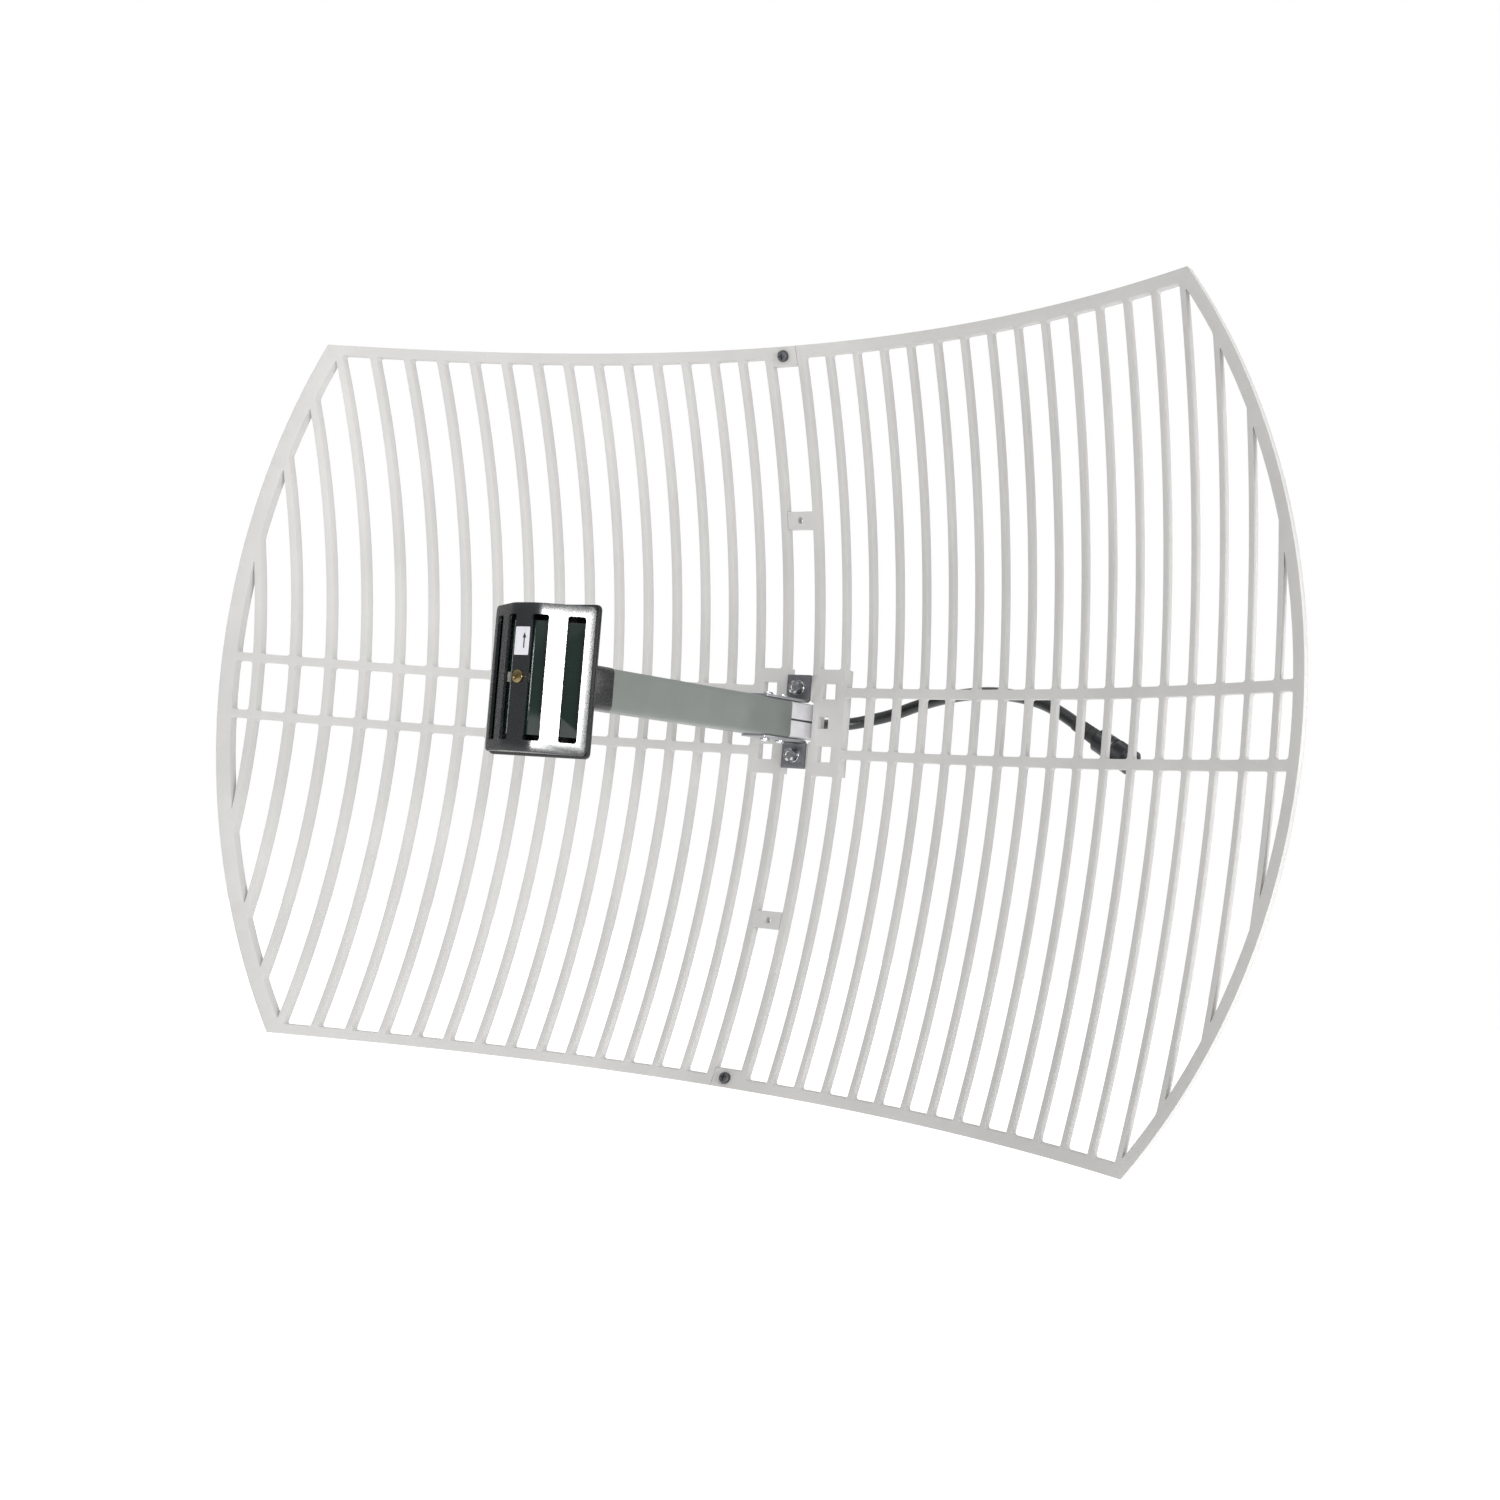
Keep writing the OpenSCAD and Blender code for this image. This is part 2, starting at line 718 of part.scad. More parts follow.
// Clamp body with spanner flats, and the spigot that the nut turns on.
module plug_body() {
    body_d = 19.4;
    flats = 17.5;
    color([0.20, 0.20, 0.21]) along_plug(boot_len) difference() {
        union() {
            cylinder(h = 1.5, d1 = body_d - 3, d2 = body_d, $fn = fine);
            translate([0, 0, 1.5]) cylinder(h = body_len - 1.5, d = body_d, $fn = fine);
            translate([0, 0, body_len]) cylinder(h = 8, r = spigot_r, $fn = fine);
        }
        for (s = [-1, 1])
            translate([s * (flats / 2 + 5), 0, 7]) cube([10, 30, 7], center = true);
        translate([0, 0, body_len + 2]) cylinder(h = 10, r = contact_r, $fn = fine);
        translate([0, 0, body_len + 3]) difference() {
            cylinder(h = 1.2, r = spigot_r + 2, $fn = fine);
            translate([0, 0, -1]) cylinder(h = 4, r = spigot_r - 0.6, $fn = fine);
        }
    }
}

// Split spring ring that keeps the nut on the spigot.
module plug_ring() {
    color("silver") along_plug(boot_len + body_len + 3.1) difference() {
        cylinder(h = 1, r = spigot_r + 0.7, $fn = fine);
        translate([0, 0, -1]) cylinder(h = 3, r = spigot_r - 0.55, $fn = fine);
        translate([0, -0.75, -1]) cube([10, 1.5, 3]);
    }
}

// Knurled coupling nut, free to turn on the plug.
module coupling_nut() {
    knurls = 24;
    knurl_d = 1;
    throat = 2.4;
    color([0.24, 0.24, 0.25]) along_plug(nut_start) difference() {
        union() {
            cylinder(h = 1, d1 = nut_d - 2, d2 = nut_d, $fn = fine);
            translate([0, 0, 1]) cylinder(h = nut_len - 2, d = nut_d, $fn = fine);
            translate([0, 0, nut_len - 1]) cylinder(h = 1, d1 = nut_d, d2 = nut_d - 2, $fn = fine);
        }
        translate([0, 0, -1]) cylinder(h = throat + 2, r = spigot_r + running_gap, $fn = fine);
        translate([0, 0, throat]) cylinder(h = nut_len, r = collar_r, $fn = fine);
        translate([0, 0, 8]) cylinder(h = nut_len, r = thread_r, $fn = fine);
        for (a = [0 : knurls - 1])
            rotate([0, 0, 360 * a / knurls]) translate([nut_d / 2, 0, 4])
                rotate([0, 0, 45]) cube([knurl_d, knurl_d, 22], center = true);
    }
}

module plug_gasket() {
    color("firebrick") along_plug(boot_len + body_len + 8) difference() {
        cylinder(h = 1.2, r = 7, $fn = fine);
        translate([0, 0, -1]) cylinder(h = 4, r = 4.3, $fn = fine);
    }
}

// Slotted outer contact that stands out of the spigot.
module plug_contact() {
    reach = 16;
    color("silver") along_plug(boot_len + body_len + 2) difference() {
        cylinder(h = reach, r = contact_r, $fn = fine);
        translate([0, 0, -1]) cylinder(h = reach + 2, r = socket_r, $fn = fine);
        for (a = [0, 60, 120])
            rotate([0, 0, a]) translate([0, 0, reach - 3]) cube([10, 0.5, 6.1], center = true);
    }
}

module plug_insulator() {
    color("white") along_plug(boot_len + body_len + 2) difference() {
        cylinder(h = 7, r = socket_r, $fn = fine);
        translate([0, 0, -1]) cylinder(h = 9, r = pin_r, $fn = fine);
    }
}

module plug_pin() {
    color("gold") along_plug(boot_len + body_len + 2) {
        cylinder(h = 11, r = pin_r, $fn = fine);
        translate([0, 0, 11]) cylinder(h = 3, r1 = 0.8, r2 = 0.3, $fn = fine);
    }
}

reflector_left();
reflector_right();
lap_screws();
lap_washers();
lap_nuts();
upper_boom_bracket();
lower_boom_bracket();
bracket_screws();
hub_bolts();
hub_washers();
hub_spring_washers();
hub_nuts();
boom_tube();
boom_sleeve();
boom_grommet();
feed_back_housing();
feed_neck_screws();
feed_gasket();
feed_cover_screws();
feed_front();
dipole_cover();
dipole_arms();
balun_tube();
dipole_strap();
terminal_screw();
arrow_label();
inner_coax();
pigtail_cable();
plug_boot();
plug_body();
plug_ring();
coupling_nut();
plug_gasket();
plug_contact();
plug_insulator();
plug_pin();
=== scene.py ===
import math

import bmesh
import bpy
from mathutils import Matrix, Vector


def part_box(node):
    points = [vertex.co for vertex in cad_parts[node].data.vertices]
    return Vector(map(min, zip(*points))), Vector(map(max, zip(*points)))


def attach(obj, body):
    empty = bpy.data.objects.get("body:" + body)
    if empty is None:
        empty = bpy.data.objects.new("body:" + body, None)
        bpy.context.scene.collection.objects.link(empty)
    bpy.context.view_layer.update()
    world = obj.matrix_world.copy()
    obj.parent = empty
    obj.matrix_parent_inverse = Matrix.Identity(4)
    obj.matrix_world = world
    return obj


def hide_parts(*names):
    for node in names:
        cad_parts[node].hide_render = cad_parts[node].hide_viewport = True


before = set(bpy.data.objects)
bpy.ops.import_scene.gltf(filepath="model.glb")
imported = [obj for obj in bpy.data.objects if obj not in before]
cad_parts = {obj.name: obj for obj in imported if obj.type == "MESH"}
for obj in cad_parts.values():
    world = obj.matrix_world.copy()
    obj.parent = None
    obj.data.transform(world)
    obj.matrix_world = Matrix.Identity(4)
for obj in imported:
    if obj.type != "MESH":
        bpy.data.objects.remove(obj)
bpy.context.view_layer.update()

# ---------------------------------------------------------------------------------------
# Camera. It stands to the right of the boresight, a little below the middle, and looks up
# at the reflector with a slight tilt of the head.
# ---------------------------------------------------------------------------------------
CAMERA_AT = (0.974, -1.481, -0.096)
AZIMUTH = 34.71
ELEVATION = 2.25
ROLL = 4.62

camera = bpy.data.objects.new("camera", bpy.data.cameras.new("camera"))
bpy.context.scene.collection.objects.link(camera)
bpy.context.scene.camera = camera
camera.data.lens = 50.98
camera.data.sensor_width = 36
camera.matrix_world = (
    Matrix.Translation(CAMERA_AT)
    @ Matrix.Rotation(math.radians(AZIMUTH), 4, "Z")
    @ Matrix.Rotation(math.radians(90 + ELEVATION), 4, "X")
    @ Matrix.Rotation(math.radians(ROLL), 4, "Z")
)

# ---------------------------------------------------------------------------------------
# Pigtail cable: a 10.3 mm low-loss coaxial cable in a black polyethylene jacket. It leaves
# the boom's grommet, arches behind the grid under its own stiffness and droops to its plug.
# ---------------------------------------------------------------------------------------
MM = 0.001
COAX_D = 10.3
CABLE_ROUTE = [
    (0, 25, 0), (0, 33, 0.5), (1.5, 42, 1.5), (6, 52, 3), (13.5, 61.5, 5.5),
    (23, 69, 9), (34, 73.5, 12.5), (46, 75, 16.5), (62, 74, 22), (80, 71.5, 27),
    (100, 67.5, 31), (121, 62.5, 33.5), (143, 57, 34.5), (164, 51, 33), (184, 45.5, 30),
    (202, 41.5, 25.5), (217, 39, 19), (232, 37, 11),
]
PLUG_AT = Vector(CABLE_ROUTE[-1])
PLUG_DROP = 29
PLUG_YAW = 7


def linear(code):
    """An sRGB hex colour as linear RGBA."""
    channels = [int(code[i:i + 2], 16) / 255 for i in (1, 3, 5)]
    return [c / 12.92 if c <= 0.04045 else ((c + 0.055) / 1.055) ** 2.4 for c in channels] + [1]


def wire(tree, node, inputs):
    """Links each input that is a socket, and sets any other."""
    for name, value in inputs.items():
        if isinstance(value, bpy.types.NodeSocket):
            tree.links.new(value, node.inputs[name])
        else:
            node.inputs[name].default_value = value


def add(tree, kind, inputs, output=None, **settings):
    """Adds a node with its settings and links, and gives its first output in use."""
    node = tree.nodes.new(kind)
    for name, value in settings.items():
        setattr(node, name, value)
    wire(tree, node, inputs)
    return node.outputs[output] if output else [s for s in node.outputs if s.enabled][0]


def new_finish(name, **constants):
    """A material with one Principled shader, its constants set on the shader's own sockets."""
    material = bpy.data.materials.new(name)
    material.use_nodes = True
    tree = material.node_tree
    shader = tree.nodes["Principled BSDF"]
    wire(tree, shader, {socket.replace("_", " "): value for socket, value in constants.items()})
    return material, tree, shader, add(tree, "ShaderNodeTexCoord", {}, "Object")


def patterned(name, tones, grain, gloss, gloss_grain=None, relief=None, **constants):
    """A finish whose tone, roughness and relief follow fine noise. A grain is a size in mm and
    a detail, and a relief is a grain with its depth in mm and its strength."""
    material, tree, shader, place = new_finish(name, **constants)
    gloss_grain = gloss_grain or grain
    relief_grain, depth, strength = relief or (grain, 0, 0)
    noise = {
        (size, detail): add(tree, "ShaderNodeTexNoise", {
            "Vector": place, "Scale": 1 / (size * MM), "Detail": detail})
        for size, detail in dict.fromkeys((grain, gloss_grain, relief_grain))
    }
    wire(tree, shader, {
        "Base Color": add(tree, "ShaderNodeMix", {
            "Factor": noise[grain], "A": linear(tones[0]), "B": linear(tones[1])}, data_type="RGBA"),
        "Roughness": add(tree, "ShaderNodeMapRange", {
            "Value": noise[gloss_grain], "To Min": gloss[0], "To Max": gloss[1]}),
    })
    if relief:
        bump = {"Height": noise[relief_grain], "Distance": depth * MM, "Strength": strength}
        wire(tree, shader, {"Normal": add(tree, "ShaderNodeBump", bump)})
    return material


# Extruded polyethylene: satin black, and slightly uneven as it left the die.
jacket = patterned(
    "extruded_polyethylene_jacket", ("#0b0d0e", "#15191a"), (25, 4.0), (0.22, 0.36), (1.5, 3.0),
    relief=((1.5, 3.0), 0.04, 0.5), IOR=1.51)


def along_plug(ahead):
    """Stands a shape, made up its own Z, on the plug's line."""
    return (
        Matrix.Translation(PLUG_AT)
        @ Matrix.Rotation(math.radians(-PLUG_YAW), 4, "Z")
        @ Matrix.Rotation(math.radians(90 + PLUG_DROP), 4, "Y")
        @ Matrix.Translation((0, 0, ahead))
    )


curve = bpy.data.curves.new("pigtail", "CURVE")
curve.dimensions = "3D"
curve.bevel_depth = COAX_D / 2 * MM
curve.bevel_resolution = 8
curve.resolution_u = 10
curve.use_fill_caps = True
spline = curve.splines.new("BEZIER")
spline.bezier_points.add(len(CABLE_ROUTE) - 1)
for point, place_mm in zip(spline.bezier_points, CABLE_ROUTE):
    point.co = Vector(place_mm) * MM
    point.handle_left_type = point.handle_right_type = "AUTO"
cable = bpy.data.objects.new("pigtail", curve)
bpy.context.scene.collection.objects.link(cable)
curve.materials.append(jacket)
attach(cable, "antenna")
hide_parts("pigtail_cable")

# ---------------------------------------------------------------------------------------
# Plug on the pigtail: a screw-on coaxial plug of turned brass in black nickel. The cable is
# clamped in its body under a moulded boot, and the knurled nut turns on the body's spigot.
# ---------------------------------------------------------------------------------------
BOOT_LEN = 24
BODY_LEN = 17
BODY_D = 19.4
NUT_GAP = 0.3
NUT_LEN = 20
NUT_D = 20.4
NUT_THREAD_R = 7.9
NUT_THROAT_R = 6.28
SPIGOT_R = 6.2
THREAD_PITCH = 1.06
KNURLS = 48


def turned(profile, steps=64, closed=True):
    """A shape of revolution about Z from (radius, height) points. A closed profile is a ring."""
    bm = bmesh.new()
    verts = [bm.verts.new((r, 0, h)) for r, h in profile]
    pairs = list(zip(verts, verts[1:])) + ([(verts[-1], verts[0])] if closed else [])
    edges = [bm.edges.new(pair) for pair in pairs]
    bmesh.ops.spin(bm, geom=verts + edges, cent=(0, 0, 0), axis=(0, 0, 1),
                   angle=2 * math.pi, steps=steps, use_merge=True)
    bmesh.ops.remove_doubles(bm, verts=bm.verts[:], dist=0.001)
    return bm


def chamfered(inner_r, outer_r, low, high, chamfer):
    """The closed profile of a ring or, with no inner radius, of a disc with broken edges."""
    outside = [
        (outer_r - chamfer, low), (outer_r, low + chamfer),
        (outer_r, high - chamfer), (outer_r - chamfer, high),
    ]
    if inner_r == 0:
        return [(0, low), *outside, (0, high)]
    return [
        (inner_r + chamfer, low), *outside, (inner_r + chamfer, high),
        (inner_r, high - chamfer), (inner_r, low + chamfer),
    ]


def make_piece(name, bm, material, stands_for, body="antenna", sharp=35, closed=True):
    """Turns a bmesh, in mm and in its place, into a finished piece on its body."""
    bmesh.ops.scale(bm, vec=(MM, MM, MM), verts=bm.verts[:])
    if closed:
        bmesh.ops.recalc_face_normals(bm, faces=bm.faces[:])
    for face in bm.faces:
        face.smooth = True
    for edge in bm.edges:
        edge.smooth = edge.calc_face_angle(math.pi) < math.radians(sharp)
    mesh = bpy.data.meshes.new(name)
    bm.to_mesh(mesh)
    bm.free()
    mesh.materials.append(material)
    piece = bpy.data.objects.new(name, mesh)
    bpy.context.scene.collection.objects.link(piece)
    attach(piece, body)
    if stands_for:
        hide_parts(*stands_for)
    return piece


def placed(bm, *matrices):
    """A copy of the shape at each of the places, all in one bmesh."""
    mesh = bpy.data.meshes.new("shape")
    bm.to_mesh(mesh)
    bm.free()
    whole = bmesh.new()
    for matrix in matrices:
        copy = mesh.copy()
        copy.transform(matrix)
        whole.from_mesh(copy)
        bpy.data.meshes.remove(copy)
    bpy.data.meshes.remove(mesh)
    return whole


def together(*shapes):
    """Several bmeshes as one."""
    whole = bmesh.new()
    for bm in shapes:
        mesh = bpy.data.meshes.new("shape")
        bm.to_mesh(mesh)
        bm.free()
        whole.from_mesh(mesh)
        bpy.data.meshes.remove(mesh)
    return whole


def thread(radius, depth, start, end, pitch):
    """The points of a thread along a profile, from start to end."""
    turns = int(abs(end - start) / pitch)
    step = math.copysign(pitch, end - start)
    points = []
    for i in range(turns):
        points += [(radius - depth, start + i * step), (radius, start + (i + 0.5) * step)]
    return points


# Black nickel on turned brass: a dark, warm-grey mirror, dulled by handling.
black_nickel = patterned(
    "black_nickel_plate", ("#3a3b3e", "#4c4d50"), (9, 4.0), (0.20, 0.40), (2, 4.0),
    relief=((2, 4.0), 0.02, 0.3), Metallic=1.0)

# Bright nickel contact plate: nearly a mirror, slightly yellow.
bright_nickel = patterned(
    "bright_nickel_plate", ("#cfc9b8", "#e2ddd0"), (2, 3.0), (0.10, 0.24), Metallic=1.0)

# Moulded rubber: black and matt, with a grey bloom.
rubber = patterned(
    "moulded_black_rubber", ("#121314", "#202122"), (6, 4.0), (0.50, 0.72),
    relief=((0.7, 2.0), 0.04, 0.5), IOR=1.52)

# Turned PTFE: waxy white, a little translucent at its edges.
ptfe = patterned(
    "turned_ptfe", ("#e4e4e0", "#f0f0ee"), (2, 2.0), (0.35, 0.50),
    IOR=1.38, Subsurface_Weight=0.15, Subsurface_Scale=0.001)

# Red silicone ring: soft and satin.
silicone = patterned(
    "red_silicone", ("#7e2018", "#96291e"), (2, 2.0), (0.40, 0.55),
    IOR=1.41, Subsurface_Weight=0.1, Subsurface_Scale=0.001)

BOOT_BORE_R = 5.25
BOOT_R = (5.7, 6.5)
BOOT_GROOVES = 5
boot_profile = [(BOOT_BORE_R, 0.2), (BOOT_R[0], 0)]
for i in range(BOOT_GROOVES):
    low = 2.5 + i * 3.2
    swell = BOOT_R[0] + (BOOT_R[1] - BOOT_R[0]) * low / BOOT_LEN
    boot_profile += [
        (swell, low), (swell - 0.7, low + 0.4), (swell - 0.7, low + 1.2), (swell + 0.1, low + 1.6),
    ]
boot_profile += [(BOOT_R[1], BOOT_LEN - 0.6), (BOOT_R[1], BOOT_LEN), (BOOT_BORE_R, BOOT_LEN)]
boot = make_piece("plug_boot_moulding", placed(turned(boot_profile, 48), along_plug(0)),
                  rubber, ["plug_boot"], sharp=30)

body_profile = [
    (0, 0), (BODY_D / 2 - 1.5, 0), (BODY_D / 2, 1.5), (BODY_D / 2, 2.6), (BODY_D / 2, 3.5),
    (BODY_D / 2, 10.5), (BODY_D / 2, 11.4), (BODY_D / 2, 12.2), (BODY_D / 2 - 0.5, 12.5),
    (BODY_D / 2 - 0.5, 13.1), (BODY_D / 2, 13.4), (BODY_D / 2, BODY_LEN - 0.6),
    (BODY_D / 2 - 0.6, BODY_LEN), (SPIGOT_R, BODY_LEN), (SPIGOT_R, BODY_LEN + 3),
    (SPIGOT_R - 0.6, BODY_LEN + 3), (SPIGOT_R - 0.6, BODY_LEN + 4.2), (SPIGOT_R, BODY_LEN + 4.2),
    (SPIGOT_R, BODY_LEN + 7.7), (SPIGOT_R - 0.3, BODY_LEN + 8), (3.6, BODY_LEN + 8),
    (3.6, BODY_LEN + 2), (0, BODY_LEN + 2),
]
body = turned(body_profile, 96, closed=False)
FLATS = 17.5
for vert in body.verts:
    if 3.4 < vert.co.z < 10.6:
        vert.co.x = max(-FLATS / 2, min(FLATS / 2, vert.co.x))
clamp_body = make_piece("plug_clamp_body", placed(body, along_plug(BOOT_LEN)),
                        black_nickel, ["plug_body"])

knurl_start, knurl_end = 2.2, 12.6
nut_profile = [
    (NUT_THROAT_R, 0.2), (NUT_THROAT_R + 0.2, 0), (NUT_D / 2 - 1.2, 0), (NUT_D / 2 - 0.2, 1),
    (NUT_D / 2 - 0.2, knurl_start - 0.3), (NUT_D / 2, knurl_start), (NUT_D / 2, knurl_end),
    (NUT_D / 2 - 0.2, knurl_end + 0.3), (NUT_D / 2 - 0.2, 14.2), (NUT_D / 2 - 0.9, 14.6),
    (NUT_D / 2 - 0.9, 15.6), (NUT_D / 2 - 0.2, 16), (NUT_D / 2 - 0.2, NUT_LEN - 0.8),
    (NUT_D / 2 - 1, NUT_LEN), (NUT_THREAD_R + 0.6, NUT_LEN), (NUT_THREAD_R, NUT_LEN - 0.6),
]
nut_profile += thread(NUT_THREAD_R + 0.5, 0.5, NUT_LEN - 1, 8.5, THREAD_PITCH)
nut_profile += [(7.6, 8), (7.6, 2.4), (NUT_THROAT_R, 2.4)]
nut = turned(nut_profile, 2 * KNURLS)
for vert in nut.verts:
    angle = math.atan2(vert.co.y, vert.co.x)
    ridge = round(angle / (math.pi / KNURLS)) % 2
    radius = math.hypot(vert.co.x, vert.co.y)
    if ridge and radius > NUT_D / 2 - 0.1:
        vert.co.xy *= (radius - 0.45) / radius
coupling = make_piece("knurled_nut", placed(nut, along_plug(BOOT_LEN + BODY_LEN + NUT_GAP)),
                      black_nickel, ["coupling_nut"], body="coupling_nut", sharp=25)

plug_finishes = {
    "plug_ring": bright_nickel, "plug_contact": bright_nickel, "plug_pin": bright_nickel,
    "plug_insulator": ptfe, "plug_gasket": silicone,
}


def finish_nodes(finishes):
    """Gives CAD nodes that stay as they are their real finish."""
    for node, material in finishes.items():
        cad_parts[node].data.materials.clear()
        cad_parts[node].data.materials.append(material)


finish_nodes(plug_finishes)

# ---------------------------------------------------------------------------------------
# Reflector: two identical aluminium castings, turned half a turn from each other. Each has
# upright ribs between a top and a bottom rail, two middle rails, a curved rim and a hub
# plate, and tabs of half depth that lap over the other half. Light grey powder coat.
# ---------------------------------------------------------------------------------------
casting_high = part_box("reflector_right")[1]
RIM_R = casting_high.x / MM
HALF_H = casting_high.z / MM
VERTEX_Y = -9.0
FOCAL = 340.0
RIB_PITCH = 27.0
RIB_W = 5.0
INNER_RIB_W = 6.4
RIB_COUNT = 17
RIB_DEPTH = 7.0
RIM_W = 10.0
EDGE_RAIL = 8.0
MID_RAIL = 7.5
MID_RAIL_Z = 25.6
GAP_HALF = 12.5
TAB_END = -12.1
TAB_H = 14.0
LAP_Z = 165.5
EDGE_TAB_Z = HALF_H - TAB_H / 2
HUB_HALF_H = 44.0
HUB_WEB_Y = -4.0
HUB_X1 = GAP_HALF + INNER_RIB_W / 2 + RIB_PITCH + RIB_W / 2
POCKET_X = (GAP_HALF + INNER_RIB_W, HUB_X1 - RIB_W)
POCKET_Z = HUB_HALF_H - 4.0
BOSS = (33.6, 8.0)
BOSS_X = 25.6
BOSS_HOLE = 10.0
MAST_HOLE = 13.0
MAST_HOLE_AT = (29.3, 26.0)
NOTCH = (14.5, 16.5)
TONGUE = (17.8, 39.0)
TONGUE_T = 3.0
TONGUE_FRONT = 0.8
LAP_GAP = 0.1
HUB_BOLT_Z = 28.0
WINDOW_R = 2.2
LAP_HOLE_R = 2.7
HUB_HOLE_R = 3.3
# The run of the steps between two depths of the casting.
STEP = 0.25


def rib_at(k):
    return GAP_HALF + INNER_RIB_W / 2 + k * RIB_PITCH


def rectangle(x0, x1, y0, y1):
    return [(x0, y0), (x1, y0), (x1, y1), (x0, y1)]


def rounded(points, radius, inside=None):
    """An outline with its corners rounded, kept inside a circle about the origin."""
    bm = bmesh.new()
    bm.faces.new([bm.verts.new((x, y, 0)) for x, y in points])
    if inside:
        for degrees in range(-90, 91, 2):
            out = Vector((math.cos(math.radians(degrees)), math.sin(math.radians(degrees)), 0))
            bmesh.ops.bisect_plane(bm, geom=bm.verts[:] + bm.edges[:] + bm.faces[:], dist=1e-5,
                                   plane_co=out * inside, plane_no=out, clear_outer=True)
    corners = [c.vert for c in bm.faces[:][0].loops if c.calc_angle() < math.radians(155)]
    bmesh.ops.bevel(bm, geom=corners, offset=radius, segments=4, profile=0.5, material=-1,
                    affect="VERTICES", clamp_overlap=True)
    outline = [(v.co.x, v.co.y) for v in bm.faces[:][0].verts]
    bm.free()
    return outline


def circle(x, y, radius, steps=24):
    turns = [2 * math.pi * i / steps for i in range(steps)]
    return [(x + radius * math.cos(a), y + radius * math.sin(a)) for a in turns]


def flat_sheet(outline, holes, cuts_x=(), cuts_y=()):
    """A flat sheet in XY with holes in it, cut along lines so that it can be bent there."""
    bm = bmesh.new()
    for loop in [outline, *holes]:
        verts = [bm.verts.new((x, y, 0)) for x, y in loop]
        for a, b in zip(verts, verts[1:] + verts[:1]):
            bm.edges.new((a, b))
    bmesh.ops.triangle_fill(bm, edges=bm.edges[:], use_beauty=True, normal=(0, 0, 1))
    for cuts, normal in ((cuts_x, (1, 0, 0)), (cuts_y, (0, 1, 0))):
        for at in cuts:
            bmesh.ops.bisect_plane(bm, geom=bm.verts[:] + bm.edges[:] + bm.faces[:], dist=1e-4,
                                   plane_co=[at * n for n in normal], plane_no=normal)
    return bm


def thickened(bm, thickness, edge_r, segments=2):
    """Gives a flat sheet a thickness below its plane, and rounds its two faces' edges."""
    below = bmesh.ops.extrude_face_region(bm, geom=bm.faces[:])
    bmesh.ops.translate(bm, vec=(0, 0, -thickness),
                        verts=[v for v in below["geom"] if isinstance(v, bmesh.types.BMVert)])
    bmesh.ops.recalc_face_normals(bm, faces=bm.faces[:])
    edges = [e for e in bm.edges if e.calc_face_angle(0) > math.radians(60)
             and abs(e.verts[0].co.z - e.verts[1].co.z) < thickness / 2]
    bmesh.ops.bevel(bm, geom=edges, offset=edge_r, segments=segments, profile=0.5, material=-1,
                    affect="EDGES", clamp_overlap=True)
    return bm


def casting_outline():
    """The right half from the front: rim, rails and the tabs across the gap."""
    corner = math.degrees(math.asin(HALF_H / RIM_R))
    steps = 40
    angles = [math.radians(corner * (2 * i / steps - 1)) for i in range(steps + 1)]
    rim = [(RIM_R * math.cos(a), RIM_R * math.sin(a)) for a in angles]
    tabs = [(EDGE_TAB_Z - TAB_H / 2, HALF_H), (LAP_Z - TAB_H / 2, LAP_Z + TAB_H / 2), TONGUE]
    upper = []
    for low, high in tabs:
        upper += [(GAP_HALF, high), (TAB_END, high), (TAB_END, low), (GAP_HALF, low)]
    upper = upper[1:] + [(GAP_HALF, NOTCH[1]), NOTCH]
    return rim + upper + [(x, -z) for x, z in reversed(upper)]


def casting_holes():
    """Every window, slot and bolt hole of the right half."""
    end = HALF_H - EDGE_RAIL
    mid_low, mid_high = MID_RAIL_Z - MID_RAIL / 2, MID_RAIL_Z + MID_RAIL / 2
    holes = []
    for k in range(RIB_COUNT + 1):
        x0 = rib_at(k) + (INNER_RIB_W if k == 0 else RIB_W) / 2
        x1 = rib_at(k + 1) - RIB_W / 2 if k < RIB_COUNT else RIM_R
        low = HUB_HALF_H if k == 0 else mid_high
        inside = RIM_R - RIM_W if math.hypot(x1, end) > RIM_R - RIM_W else None
        spans = [(low, end), (-end, -low)] + ([(-mid_low, mid_low)] if k else [])
        holes += [rounded(rectangle(x0, x1, *span), WINDOW_R, inside) for span in spans]
    for z in (-1, 1):
        x, y, h = MAST_HOLE_AT[0], z * MAST_HOLE_AT[1], MAST_HOLE / 2
        holes.append(rounded(rectangle(x - h, x + h, y - h, y + h), 0.5))
        holes += [circle(0, z * tab_z, LAP_HOLE_R) for tab_z in (LAP_Z, EDGE_TAB_Z)]
        holes.append(circle(0, z * HUB_BOLT_Z, HUB_HOLE_R))
    half = BOSS_HOLE / 2
    holes.append(rounded(rectangle(BOSS_X - half, BOSS_X + half, -half, half), 0.5))
    return holes


